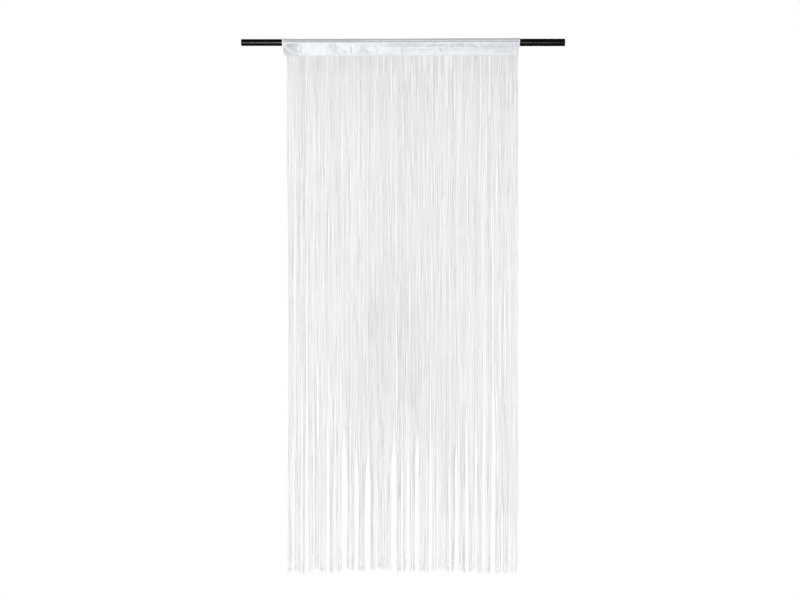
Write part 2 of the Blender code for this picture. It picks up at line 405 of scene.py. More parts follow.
class SharedEffects:
    """The shader groups that the finishes share, each built once."""

    def __init__(self) -> None:
        """Builds the groups."""
        self.mottle = self.build_mottle()
        self.plies = self.build_plies()
        self.weave = self.build_weave()

    @staticmethod
    def build_mottle() -> bpy.types.NodeTree:
        """Builds soft uneven lightness over a colour.

        Returns:
            The group. It gives the toned colour, and the mask of where it is darker.
        """
        inputs = {"Vector": "NodeSocketVector", "Colour": "NodeSocketColor"}
        inputs |= dict.fromkeys(("Scale", "Amount", "Tone"), "NodeSocketFloat")
        outputs = {"Colour": "NodeSocketColor", "Mask": "NodeSocketFloat"}
        group = NodeGroup("uneven_tone", "ShaderNodeTree", inputs, outputs)
        given = group.inputs
        noise = {"Vector": given["Vector"], "Scale": given["Scale"], "Detail": 3.0, "Roughness": 0.6}
        mask = group.ramp(group.add("ShaderNodeTexNoise", noise), *SPOT_FADES)
        tone = group.math("SUBTRACT", given["Tone"], group.math("MULTIPLY", mask, given["Amount"]))
        toned = group.add("ShaderNodeVectorMath", {0: given["Colour"], "Scale": tone}, operation="SCALE")
        group.give(Colour=toned, Mask=mask)
        return group.tree

    @staticmethod
    def build_plies() -> bpy.types.NodeTree:
        """Builds the ridges of plies twisted round a yarn.

        Returns:
            The group. It gives the ridges' height, 0 to 1.
        """
        inputs = {"Around": "NodeSocketVector"}
        inputs |= dict.fromkeys(("Along", "Turn", "Plies"), "NodeSocketFloat")
        group = NodeGroup("twisted_plies", "ShaderNodeTree", inputs, {"Height": "NodeSocketFloat"})
        given = group.inputs
        x, y, _ = group.axes(given["Around"])
        turns = group.math("DIVIDE", given["Along"], given["Turn"])
        spun = group.math("MULTIPLY", turns, FULL_TURN)
        angle = group.math("MULTIPLY_ADD", group.math("ARCTAN2", y, x), given["Plies"], spun)
        group.give(Height=group.math("MULTIPLY_ADD", group.math("SINE", angle), 0.5, 0.5))
        return group.tree

    @staticmethod
    def build_weave() -> bpy.types.NodeTree:
        """Builds a satin's long floats, with fine threads between them.

        Returns:
            The group. It gives the threads' height, 0 to 1.
        """
        inputs = {"Vector": "NodeSocketVector"}
        inputs |= dict.fromkeys(("Warp Pitch", "Float Length"), "NodeSocketFloat")
        group = NodeGroup("satin_weave", "ShaderNodeTree", inputs, {"Height": "NodeSocketFloat"})
        x, y, _ = group.axes(group.inputs["Vector"])
        warp = group.math("DIVIDE", x, group.inputs["Warp Pitch"])
        row = group.math("DIVIDE", y, group.inputs["Float Length"])
        stepped = group.math("MULTIPLY_ADD", group.math("FLOOR", warp), SATIN_STEP, row)
        waves = [group.math("SINE", group.math("MULTIPLY", value, math.pi)) for value in (warp, stepped)]
        thread, between = [group.math("ABSOLUTE", wave) for wave in waves]
        group.give(Height=group.math("MULTIPLY", thread, group.ramp(between, 0.0, FLOAT_ENDS)))
        return group.tree


@dataclass(frozen=True)
class Grain:
    """A noise pattern: its size and how it is stretched and turned about Y."""

    scale: float
    detail: float
    roughness: float = 0.5
    stretch: tuple[float, float, float] = (1.0, 1.0, 1.0)
    turn: float = 0.0
    distortion: float = 0.0

    def noise(self, web: NodeWeb, place: object) -> bpy.types.Node:
        """Adds the pattern.

        Args:
            web: the node tree that it goes into.
            place: the coordinates that it lies on.

        Returns:
            The noise's node.
        """
        feeds = {"Vector": place, "Rotation": (0.0, self.turn, 0.0), "Scale": self.stretch}
        look = {"Scale": self.scale, "Detail": self.detail, "Roughness": self.roughness}
        look |= {"Vector": web.add("ShaderNodeMapping", feeds), "Distortion": self.distortion}
        return web.add("ShaderNodeTexNoise", look)


@dataclass(frozen=True)
class Mottle:
    """How uneven a finish is: its spots' size, and how much darker and rougher they are."""

    scale: float
    darker: float
    rougher: float
    stretch: tuple[float, float, float] = (1.0, 1.0, 1.0)


@dataclass(frozen=True)
class Band:
    """A stretch of one axis that fades in over its rise and out over its fall, where it has them."""

    rise: tuple[float, float] | None = None
    fall: tuple[float, float] | None = None

    def at(self, value: Reading) -> Reading:
        """Reads the band.

        Args:
            value: the place along the axis.

        Returns:
            1 inside the band and 0 outside it.
        """
        inside, outside = [
            smooth_step((value - band[0]) / (band[1] - band[0])) if band else missing
            for band, missing in ((self.rise, 1.0), (self.fall, 0.0))
        ]
        return inside - outside

    def mask(self, web: NodeWeb, value: object) -> object:
        """Returns 1 inside the band and 0 outside it, read by nodes of the tree."""
        inside = web.ramp(value, *self.rise) if self.rise else 1.0
        return web.math("SUBTRACT", inside, web.ramp(value, *self.fall)) if self.fall else inside


@dataclass(frozen=True)
class ToneArea:
    """A part of the object that is darker, and by how much."""

    amount: float
    height: Band
    along: Band = Band()


def total_tone(web: NodeWeb, areas: tuple[ToneArea, ...], x: object, z: object) -> bpy.types.NodeSocket:
    """Adds up areas of tone.

    Args:
        web: the node tree that the nodes go into.
        areas: the areas.
        x: the place along X.
        z: the place along Z.

    Returns:
        How much darker each place is.
    """
    total = 0.0
    for area in areas:
        here = web.math("MULTIPLY", area.along.mask(web, x), area.height.mask(web, z))
        total = web.math("MULTIPLY_ADD", here, area.amount, total)
    return total


@dataclass(frozen=True, kw_only=True)
class Finish:
    """A finish of the object: its colour and how it takes the light."""

    name: str
    colour: tuple[float, float, float]
    roughness: float
    specular: float
    mottle: Mottle
    strength: float
    sheen: float = 0.0
    sheen_roughness: float = 0.5

    def tone(self, web: NodeWeb, place: object) -> object:
        """Returns the lightness at a place in Object coordinates. 1 is the plain colour."""
        return 1.0

    def normal(self, web: NodeWeb, place: object, effects: SharedEffects) -> bpy.types.Node:
        """Returns the node that gives the normal of the fine relief."""
        raise NotImplementedError

    def material(self, effects: SharedEffects) -> bpy.types.Material:
        """Builds the material.

        Args:
            effects: the shared shader groups.

        Returns:
            The material.
        """
        material = bpy.data.materials.new(self.name)
        material.use_nodes = True
        web = NodeWeb(material.node_tree)
        place = web.add("ShaderNodeTexCoord").outputs["Object"]
        stretched = web.add("ShaderNodeMapping", {"Vector": place, "Scale": self.mottle.stretch})
        feeds = {"Vector": stretched, "Colour": (*self.colour, 1.0), "Tone": self.tone(web, place)}
        feeds |= {"Scale": self.mottle.scale, "Amount": self.mottle.darker}
        spots = web.add("ShaderNodeGroup", feeds, node_tree=effects.mottle).outputs
        look = {
            "Base Color": spots["Colour"],
            "Roughness": web.math("MULTIPLY_ADD", spots["Mask"], self.mottle.rougher, self.roughness),
            "Specular IOR Level": self.specular,
            "Sheen Weight": self.sheen,
            "Sheen Roughness": self.sheen_roughness,
            "Normal": self.normal(web, place, effects),
        }
        shader = material.node_tree.nodes["Principled BSDF"]
        for name, value in look.items():
            web.feed(shader.inputs[name], value)
        return material


@dataclass(frozen=True, kw_only=True)
class SatinFinish(Finish):
    """White satin: smooth, softly shiny, with fine threads. Painted shade darkens it round the rod, partly
    the black rod seen through it.
    """

    rod_shade_depth: float
    painted_rod_shade: tuple[ToneArea, ...]
    over_rod: Band
    wobble: Grain
    wobble_reach: float
    warp_pitch: float
    float_length: float
    weave_relief: float
    wrinkles: Grain
    wrinkle_relief: float

    def tone(self, web: NodeWeb, place: object) -> object:
        """Works out the lightness, with painted shade round the rod: darkest along the line where the cloth
        first lies on it, partly the black rod seen through the cloth.

        Args:
            web: the material's node tree.
            place: the Object coordinates.

        Returns:
            The lightness.
        """
        x, _, z = web.axes(place)
        wobble = web.math("SUBTRACT", self.wobble.noise(web, place), 0.5)
        height = web.math("MULTIPLY_ADD", wobble, self.wobble_reach, z)
        # Painted shade round the rod, kept to the rod's length, partly the black rod seen through the satin.
        shade_sum = total_tone(web, self.painted_rod_shade, x, height)
        seen = web.math("MULTIPLY", shade_sum, self.over_rod.mask(web, x))
        return web.math("MULTIPLY_ADD", seen, -self.rod_shade_depth, 1.0)

    def normal(self, web: NodeWeb, place: object, effects: SharedEffects) -> bpy.types.Node:
        """Works out the fine relief: the weave over small wrinkles.

        Args:
            web: the material's node tree.
            place: the Object coordinates.
            effects: the shared shader groups.

        Returns:
            The node that gives the normal.
        """
        rumpled = web.bump(self.wrinkles.noise(web, place), self.wrinkle_relief, self.strength)
        cloth = web.add("ShaderNodeUVMap", uv_map=CLOTH_MAP)
        feeds = {"Vector": cloth, "Warp Pitch": self.warp_pitch, "Float Length": self.float_length}
        weave = web.add("ShaderNodeGroup", feeds, node_tree=effects.weave)
        return web.bump(weave, self.weave_relief, self.strength, rumpled)


@dataclass(frozen=True, kw_only=True)
class YarnFinish(Finish):
    """White twisted polyester yarn. Each string's tone differs a little, and so does each lot's. Painted
    shade darkens it below the seam and at a waist half-way down.
    """

    turn: float
    relief: float
    tone_spread: float
    lot_spread: float
    lots: Grain = Grain(30.0, 2.0, stretch=(1.0, 0.0, 0.008))
    lot_fades: tuple[float, float] = (0.32, 0.68)
    plies: float = 2.0
    start_turns: float = 9.0
    painted_shade: tuple[ToneArea, ...] = (
        # Painted shade: darker below the seam and over a wide waist at mid-height in the middle.
        ToneArea(0.062, Band((-0.31, -0.02))),
        ToneArea(0.060, Band((-1.62, -1.32), (-1.00, -0.75)), Band((-0.26, -0.10), (0.06, 0.22))),
    )

    def tone(self, web: NodeWeb, place: object) -> object:
        """Works out the lightness.

        Args:
            web: the material's node tree.
            place: the Object coordinates.

        Returns:
            The lightness.
        """
        x, _, z = web.axes(place)
        lots = web.ramp(self.lots.noise(web, place), *self.lot_fades)
        tone = web.math("MULTIPLY_ADD", web.attribute("tone"), -self.tone_spread, 1.0)
        tone = web.math("MULTIPLY_ADD", lots, -self.lot_spread, tone)
        # Less the painted shade below the seam and at mid-height.
        return web.math("SUBTRACT", tone, total_tone(web, self.painted_shade, x, z))

    def normal(self, web: NodeWeb, place: object, effects: SharedEffects) -> bpy.types.Node:
        """Works out the fine relief: the twisted plies.

        Args:
            web: the material's node tree.
            place: not used.
            effects: the shared shader groups.

        Returns:
            The node that gives the normal.
        """
        ahead = self.start_turns * self.turn
        along = web.math("MULTIPLY_ADD", web.attribute("tone"), ahead, web.attribute("along"))
        feeds = {"Along": along, "Around": web.attribute("around", "Vector")}
        feeds |= {"Turn": self.turn, "Plies": self.plies}
        plies = web.add("ShaderNodeGroup", feeds, node_tree=effects.plies)
        return web.bump(plies, self.relief, self.strength)


@dataclass(frozen=True, kw_only=True)
class PaintFinish(Finish):
    """Black satin paint on a tube, with fine orange peel and faint lengthwise rubbing."""

    lightness: float
    peel: Grain
    peel_relief: float

    def tone(self, web: NodeWeb, place: object) -> object:
        """Returns the one lightness of the paint, which its spots then darken."""
        return self.lightness

    def normal(self, web: NodeWeb, place: object, effects: SharedEffects) -> bpy.types.Node:
        """Returns the node that gives the normal of the orange peel."""
        return web.bump(self.peel.noise(web, place), self.peel_relief, self.strength)


# Bands of X and of Z for the painted shade that darkens the satin round the rod, partly the black rod seen
# through it. The cloth is tight on the left and loose on the right.
LOOSE_RIGHT = Band((-0.20, -0.10))
TIGHT_LEFT = Band(fall=(-0.20, -0.10))
CONTACT_SHADE = Band((-0.0032, -0.0006), (0.0009, 0.0034))
CROWN = Band((0.0032, 0.0078))
UNDER_ROD = Band((-0.0220, -0.0120), (-0.0095, -0.0040))
SATIN = SatinFinish(
    name="white_satin",
    colour=(0.812, 0.830, 0.858),
    roughness=0.37,
    specular=0.6,
    mottle=Mottle(55.0, 0.035, 0.08),
    strength=0.5,
    sheen=0.12,
    sheen_roughness=0.4,
    rod_shade_depth=0.48,
    # Painted shade: the line where the cloth first lies on the rod, the crown of the roll, the cloth below
    # the rod, the hollow at the drawn left end, and a lower band on the right.
    painted_rod_shade=(
        ToneArea(0.40, CONTACT_SHADE),
        ToneArea(0.45, CONTACT_SHADE, LOOSE_RIGHT),
        ToneArea(0.42, Band((-0.0078, -0.0006)), TIGHT_LEFT),
        ToneArea(0.10, CROWN),
        ToneArea(0.30, CROWN, LOOSE_RIGHT),
        ToneArea(0.24, UNDER_ROD, Band((-0.10, -0.03))),
        ToneArea(0.52, UNDER_ROD, Band((-0.440, -0.430), (-0.404, -0.376))),
        ToneArea(0.15, Band((-0.0340, -0.0270), (-0.0210, -0.0150)), Band((0.10, 0.17))),
    ),
    over_rod=Band((-0.450, -0.444), (0.429, 0.435)),
    wobble=Grain(38.0, 4.0, 0.65, (1.0, 0.2, 0.2)),
    wobble_reach=0.0030,
    warp_pitch=0.00034,
    float_length=0.0016,
    weave_relief=0.00006,
    wrinkles=Grain(130.0, 3.0, 0.55, (1.0, 1.0, 0.45), 0.5, 0.8),
    wrinkle_relief=0.0012,
)
YARN = YarnFinish(
    name="white_yarn",
    colour=(0.980, 0.985, 1.000),
    roughness=0.55,
    specular=0.35,
    mottle=Mottle(75.0, 0.06, 0.12, (1.0, 1.0, 0.012)),
    strength=0.6,
    sheen=0.3,
    sheen_roughness=0.6,
    turn=0.0042,
    relief=0.00010,
    tone_spread=0.092,
    lot_spread=0.064,
)
THREAD = YarnFinish(
    name="white_thread",
    colour=(0.900, 0.905, 0.920),
    roughness=0.42,
    specular=0.45,
    mottle=YARN.mottle,
    strength=YARN.strength,
    sheen=YARN.sheen,
    sheen_roughness=YARN.sheen_roughness,
    turn=0.0011,
    relief=0.00005,
    tone_spread=0.04,
    lot_spread=0.0,
)
BLACK_PAINT = PaintFinish(
    name="black_paint",
    colour=(0.0035, 0.0035, 0.0040),
    roughness=0.24,
    specular=0.36,
    mottle=Mottle(420.0, 0.25, 0.10, (0.05, 1.0, 1.0)),
    strength=0.3,
    lightness=1.1,
    peel=Grain(900.0, 2.0),
    peel_relief=0.000008,
)


def to_piece(piece: bpy.types.Object, slot: Slot, *nodes: str) -> bpy.types.Object:
    """Puts a finished piece on the model's body.

    Args:
        piece: the piece, at the origin with its place in its mesh.
        slot: the record's slot that its finish comes from. Not used.
        *nodes: the solid nodes that it stands for.

    Returns:
        The same piece.
    """
    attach(piece, BODY)
    if nodes:
        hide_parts(*nodes)
    piece.data.calc_loop_triangles()
    log.info("%s: %d triangles", piece.name, len(piece.data.loop_triangles))
    return piece


# Rod


class Side(Enum):
    """Which end of the rod a tube reaches, by its sign along X."""

    LEFT = -1.0
    RIGHT = 1.0


@dataclass
class Tube:
    """One tube of the rod: closed at its outer end, open at its inner end."""

    name: str
    node: str
    side: Side
    wall: float = 0.0008
    end_plate: float = 0.002
    rim_round: float = 0.0007
    rim_steps: int = 4
    mouth_steps: int = 6
    sides: int = 96
    sharp_from: float = math.radians(50)
    low_x: float = field(init=False)
    high_x: float = field(init=False)
    radius: float = field(init=False)

    def __post_init__(self) -> None:
        """Takes the tube's two ends and its radius from the frame."""
        low, high = solid_box(self.node)
        self.low_x, self.high_x, self.radius = low[0], high[0], high[2]

    def profile(self) -> list[tuple[float, float]]:
        """Draws the outline, from the middle of the outer end to the inside of its plate.

        Returns:
            Its points, each as the distance from the outer end and the radius.
        """
        length, lip = self.high_x - self.low_x, self.wall / 2
        corner = [
            (self.rim_round * (1 - math.sin(a)), self.radius - self.rim_round * (1 - math.cos(a)))
            for a in np.linspace(math.pi / 2, 0.0, self.rim_steps + 1)
        ]
        mouth = [
            (length - lip * (1 - math.cos(a)), self.radius - lip * (1 - math.sin(a)))
            for a in np.linspace(math.pi / 2, -math.pi / 2, self.mouth_steps + 1)
        ]
        inside = [(self.end_plate, self.radius - self.wall), (self.end_plate, 0.0)]
        return [(0.0, 0.0), *corner, *mouth, *inside]

    def build(self, paint: bpy.types.Material) -> bpy.types.Object:
        """Turns the outline into a tube.

        Args:
            paint: the tube's material.

        Returns:
            The piece.
        """
        away, radius = np.array(self.profile()).T
        outer_x = self.low_x if self.side is Side.LEFT else self.high_x
        turn = FULL_TURN * np.arange(self.sides) / self.sides
        rings = np.stack(np.broadcast_arrays(
            (outer_x - self.side.value * away)[:, None],
            radius[:, None] * np.sin(turn) * -self.side.value,
            radius[:, None] * np.cos(turn),
        ), axis=-1)
        # The first and last points of the outline are on the axis, so each is a single point.
        points = [rings[0, :1], rings[1:-1].reshape(-1, 3), rings[-1, :1]]
        numbers = np.arange(rings[..., 0].size).reshape(rings.shape[:2]) - self.sides + 1
        numbers[0], numbers[-1] = 0, numbers[-1, 0]
        ahead = np.roll(numbers, -1, axis=1)
        quads = np.stack([numbers[:-1], numbers[1:], ahead[1:], ahead[:-1]], axis=-1)
        faces = [list(dict.fromkeys(quad)) for quad in quads.reshape(-1, 4).tolist()]
        mesh = bpy.data.meshes.new(self.name)
        mesh.from_pydata(np.concatenate(points).tolist(), [], faces)
        mesh.materials.append(paint)
        mesh.shade_smooth()
        mesh.set_sharp_from_angle(angle=self.sharp_from)
        return to_piece(new_object(self.name, mesh), Slot.ROD_PAINT, self.node)


@dataclass
class TelescopicRod:
    """The black rod: a thin tube on the left that slides into a thick one on the right."""

    thin: Tube = field(default_factory=lambda: Tube("thin_tube", "rod_thin_tube", Side.LEFT))
    thick: Tube = field(default_factory=lambda: Tube("thick_tube", "rod_thick_tube", Side.RIGHT))

    def radius_at(self, x: np.ndarray) -> np.ndarray:
        """Returns the rod's outer radius at each x."""
        return np.where(x > self.thick.low_x, self.thick.radius, self.thin.radius)

    def build(self, effects: SharedEffects) -> list[bpy.types.Object]:
        """Builds the pieces of both tubes, with the shared shader groups."""
        paint = BLACK_PAINT.material(effects)
        return [self.thin.build(paint), self.thick.build(paint)]


# Header


CREST_ROUND = 0.5


class Relief(Enum):
    """The cross-section of a crease in the satin, by how steeply it falls away. A soft one is round."""

    SOFT = 0.0
    SHARP = 1.6

    def profile(self, across: np.ndarray) -> np.ndarray:
        """Reads the cross-section.

        Args:
            across: distance across the crease, in half-widths.

        Returns:
            Its height there, 1 at its crest.
        """
        if self is Relief.SOFT:
            return mound(across, 1.0)
        return np.exp(self.value * (CREST_ROUND - np.hypot(across, CREST_ROUND)))


@dataclass(frozen=True)
class Crease:
    """One crease in the front of the header, in millimetres, its angle measured from +X."""

    x: float
    drop: float
    half_length: float
    half_width: float
    angle: float
    rise: float
    relief: Relief = Relief.SOFT

    def height(self, x: np.ndarray, drop: np.ndarray) -> np.ndarray:
        """Reads how far the crease lifts the cloth.

        Args:
            x: places along the header, in metres.
            drop: places down from the rod's axis, in metres.

        Returns:
            Heights in metres.
        """
        turn = math.radians(self.angle)
        right, up = x * 1000.0 - self.x, self.drop - drop * 1000.0
        along = (right * math.cos(turn) + up * math.sin(turn)) / self.half_length
        across = (up * math.cos(turn) - right * math.sin(turn)) / self.half_width
        return self.rise / 1000.0 * np.exp(-(np.abs(along) ** 3)) * self.relief.profile(across)


SHARP = Relief.SHARP
# Each row: x, drop, half-length, half-width, angle, rise, and the cross-section where it is sharp.
CREASES = tuple(Crease(*row) for row in (
    # The drawn left end: a thick diagonal fold, a hollow above it and puckers at the mouth.
    (-416, 31, 25, 4.2, -31, 10.08), (-417, 14, 16, 5.0, -24, -9), (-401, 22, 11, 3.2, -62, -4.68, SHARP),
    (-435, -9, 4, 2.2, 80, 2.16), (-434, 8.6, 5, 2.2, 85, -2.88, SHARP),
    (-384, 30, 11, 2.6, 90, 4.32, SHARP), (-389, 30, 10, 2.8, 88, -2.88), (-384, 47, 4, 3.0, 0, -2.88),
    # A long slanting trough with a ridge on each side.
    (-263, 20, 19, 2.8, -63, -7.92, SHARP), (-269.5, 23, 16, 3.2, -63, 3.96),
    (-254, 20, 16, 3.2, -63, 4.32), (-246, 41.3, 11, 2.3, 0, 3.96), (-279.7, 17, 6, 3.0, 60, -3.6, SHARP),
    (-219.7, 37.5, 5, 3.0, 30, 3.24), (-195.3, 30, 11, 2.6, 90, 5.04, SHARP),
    (-190, 30, 9, 2.6, 90, -2.88),
    # A lozenge where the cloth is pinched, and the small dents round it.
    (-147, 35, 9, 6.0, 20, 3.96), (-157, 27, 15, 3.4, 47, -5.76), (-137, 29, 12, 3.0, -41, -6.12, SHARP),
    (-158, 43, 9, 3.0, -30, -3.6), (-134, 42, 12, 2.8, 28, -3.96), (-154, 9.4, 8, 3.2, -62, -6.12, SHARP),
    (-130.5, 16.0, 9, 3.0, 66, -5.76), (-141, 11.3, 6, 2.7, 90, 4.32), (-114.6, 4.5, 6, 2.5, 45, 2.88),
    (-103.4, 12, 6, 2.4, 70, 3.6), (-86.5, 8.5, 7, 2.2, 85, 3.6), (-99.6, 35.6, 6, 2.2, 20, 3.24),
    (-126, 43, 13, 2.2, -39, 3.24),
    # A long flat fold under the rod, over the middle.
    (7, 13.1, 70, 2.8, 0, -2.88, SHARP), (7, 8.4, 62, 2.8, 0, 3.24), (-32, 11.3, 7, 2.0, 15, 3.24),
    (-49, 45, 19, 5.0, -3, -3.24), (1.7, 30, 12, 3.2, 88, -5.4, SHARP), (-6, 30, 11, 2.6, 92, 3.6),
    (9.5, 30, 11, 2.6, 86, 3.24), (69, 28.1, 50, 2.0, 0.5, -3.96, SHARP),
    (101, 15, 6, 2.2, 20, -3.6, SHARP), (116, 11.3, 9, 2.2, 0, -3.6, SHARP),
    (144, 11.3, 8, 2.2, 0, -3.6, SHARP), (138.6, 27.2, 10, 2.6, -49, 5.4, SHARP),
    # The right third: short slanting folds, then a long soft hollow with a ridge below it.
    (210, 10.3, 13, 2.8, 22, 5.04), (215, -5.5, 8, 2.4, 30, 3.24),
    (185.5, 13.1, 6, 2.7, 60, -4.32, SHARP), (224.9, 9.4, 6, 2.6, 70, -4.32, SHARP),
    (270, 15, 14, 3.0, -26, -5.76, SHARP), (356, 15.5, 56, 5.5, 0, -6.84),
    (377, 28.1, 27, 2.2, 0, -4.32, SHARP), (370, 35.5, 42, 3.5, 0, 4.32), (384.4, 48.8, 6, 2.4, 0, 2.88),
    (415, 18, 16, 4.5, 90, -4.32),
    # Puckers of the sewn right end.
    (424, 6, 12, 2.0, 84, 3.96, SHARP), (430, 24, 11, 1.8, 98, 3.6, SHARP),
    (427, 36, 8, 1.8, 70, -3.24, SHARP), (434, 12, 7, 1.6, 60, -3.6, SHARP),
    (432, 42, 7, 1.8, 110, 3.6, SHARP), (435, 1, 8, 1.6, 90, 3.24, SHARP),
    (421, 46, 9, 1.8, 35, 2.88, SHARP),
))


@dataclass
class Header:
    """The satin pocket: one strip over the rod, its two edges sewn together over the strings.

    The profiles are tables of x and value. The two corners are tables of drop and the edge's x.
    """

    rod: TelescopicRod
    left_x: float = -0.4530
    right_x: float = 0.4370
    pocket_radius: tuple[tuple[float, float], ...] = (
        (-0.453, 0.01280), (-0.250, 0.01280), (-0.150, 0.01315), (-0.047, 0.01340), (0.020, 0.01375),
        (0.155, 0.01455), (0.290, 0.01490), (0.358, 0.01512), (0.437, 0.01550),
    )
    seam_drop: tuple[float, float] = (0.0525, 0.0488)
    seam_height: float = 0.0050
    seam_waves: tuple[tuple[float, float, float], ...] = ((0.0012, 15.3, 0.6), (0.0007, 37.0, 2.1))
    layer_half_gap: float = 0.0010
    layer_keeps: float = 0.00045
    layer_eases: float = 0.0004
    layers_meet: Band = Band((0.013, 0.019))
    cloth: float = 0.00045
    rod_gap: float = 0.0002
    edge_slant: float = 0.0048
    slant_power: int = 12
    stations: int = 560
    strip_rows: int = 4
    front_rows: int = 30
    arc_rows: int = 26
    back_rows: int = 12
    flat: tuple[float, float] = (0.90, 0.15)
    # How the cloth leaves its smooth cross-section. Angles are those of its normal.
    around_radius: float = 0.013
    front_ends: float = 0.62 * math.pi
    back_starts: float = 1.38 * math.pi
    turn_run: float = 0.5
    sewn_run: float = 0.007
    sewn_keeps: tuple[float, float] = (0.15, 0.30)
    crease_limit: float = 0.0085
    swell: tuple[tuple[float, float], ...] = (
        (-0.110, 0.0), (-0.050, 0.0026), (0.200, 0.0028), (0.360, 0.0032), (0.437, 0.0026),
    )
    swells: Band = Band((0.008, 0.019), (0.019, 0.042))
    pucker_reach: float = 0.011
    front_puckers: Ripples = Ripples(3, 0.006, 0.022, 0.00032)
    front_waves: Ripples = Ripples(5, 0.030, 0.120, 0.00060, 3.0)
    front_wrinkles: Ripples = Ripples(7, 0.010, 0.030, 0.00022, 1.5)
    back_waves: Ripples = Ripples(11, 0.020, 0.100, 0.00040, 2.0)
    back_puckers: Ripples = Ripples(13, 0.006, 0.020, 0.00025)
    top_waves: Ripples = Ripples(17, 0.007, 0.050, 0.00016, 0.4)
    hem_width: float = 0.015
    hem_step: float = 0.00042
    hem_step_run: float = 0.0012
    fold: float = 0.0009
    fold_reach: float = 0.003
    hem_puckers: Ripples = Ripples(19, 0.006, 0.018, 0.00035)
    hem_pucker_reach: float = 0.010
    # The left end's corner is drawn in, and its edge curls.
    corner_reach: float = 0.080
    corner: tuple[tuple[float, float], ...] = (
        (0.0120, -0.4530), (0.0150, -0.4526), (0.0210, -0.4470), (0.0350, -0.4330),
        (0.0420, -0.4190), (0.0465, -0.4080), (0.0500, -0.3960), (0.0525, -0.3860),
    )
    back_corner: tuple[tuple[float, float], ...] = (
        (0.0060, -0.4530), (0.0180, -0.4500), (0.0400, -0.4486), (0.0460, -0.4472),
        (0.0500, -0.4440), (0.0525, -0.4395),
    )
    curls_from: float = 0.010
    curl: tuple[float, float, float] = (0.0016, 0.0045, 0.0035)
    tuck: tuple[float, float] = (0.0012, 0.002)

    def share(self, x: np.ndarray) -> np.ndarray:
        """Returns how far along the header x is, 0 at its left end and 1 at its right end."""
        return (x - self.left_x) / (self.right_x - self.left_x)

    def drop_at(self, x: np.ndarray) -> np.ndarray:
        """Returns how far down the header's lower edge is at x."""
        return lerp(*self.seam_drop, self.share(x))

    def seam_y(self, x: np.ndarray) -> np.ndarray:
        """Returns how far behind the rod's axis the seam is at x."""
        return sum(size * np.sin(rate * x + phase) for size, rate, phase in self.seam_waves)

    def loop(self, x: np.ndarray) -> tuple[np.ndarray, ...]:
        """Lays out the smooth cross-sections, from the front's lower edge over the rod to the back's.

        Args:
            x: the stations along the header.

        Returns:
            For each station and row: y, z and the angle of the outward normal, measured about the
            rod from straight down, forwards.
        """
        radius = along_profile(x, self.pocket_radius)
        strip_drop = self.drop_at(x) - self.seam_height
        feet_y, leaves = [], []
        for side in (-1.0, 1.0):
            feet_y.append(self.seam_y(x) + side * self.layer_half_gap)
            turn = np.arctan2(side * feet_y[-1], strip_drop)
            leaves.append(turn + np.arccos(radius / np.hypot(feet_y[-1], strip_drop)))
        first, last = leaves[0], FULL_TURN - leaves[1]
        half_way = lerp(math.pi / 2, first, 0.5)
        sections = []

        def on_rod(angle: np.ndarray) -> tuple[np.ndarray, np.ndarray]:
            """Returns y and z of the pocket's round part at an angle."""
            return -radius * np.sin(angle), -radius * np.cos(angle)

        for i in range(self.strip_rows):
            share = i / self.strip_rows
            z = -(strip_drop + self.seam_height * (1.0 - share))
            sections.append((feet_y[0], z, lerp(math.pi / 2, first, share * 0.5)))
        top_y, top_z = on_rod(first)
        for i in range(self.front_rows):
            share = i / self.front_rows
            y, z = lerp(feet_y[0], top_y, share), lerp(-strip_drop, top_z, share)
            sections.append((y, z, lerp(half_way, first, min(1.0, share * 5.0))))
        for i in range(self.arc_rows):
            angle = lerp(first, last, i / self.arc_rows)
            sections.append((*on_rod(angle), angle))
        top_y, top_z = on_rod(last)
        for i in range(self.back_rows):
            share = i / self.back_rows
            sections.append((lerp(top_y, feet_y[1], share), lerp(top_z, -strip_drop, share), last))
        for i in range(self.strip_rows + 1):
            z = -(strip_drop + self.seam_height * i / self.strip_rows)
            sections.append((feet_y[1], z, np.full_like(x, 1.5 * math.pi)))
        return tuple(np.array(rows).T for rows in zip(*sections))

    def front_relief(self, x: np.ndarray, drop: np.ndarray) -> np.ndarray:
        """Adds up the front's creases, its swell below the rod and its small puckers.

        Args:
            x: places along the header.
            drop: places down from the rod's axis.

        Returns:
            How far the cloth stands out there.
        """
        rise = sum(crease.height(x, drop) for crease in CREASES)
        rise = self.crease_limit * np.tanh(rise / self.crease_limit)
        rise = rise + along_profile(x, self.swell) * self.swells.at(drop)
        by_seam = mound(self.drop_at(x) - drop, self.pucker_reach)
        rise = rise + by_seam * self.front_puckers.at(x, drop)
        return rise + self.front_waves.at(x, drop) + self.front_wrinkles.at(x, drop)

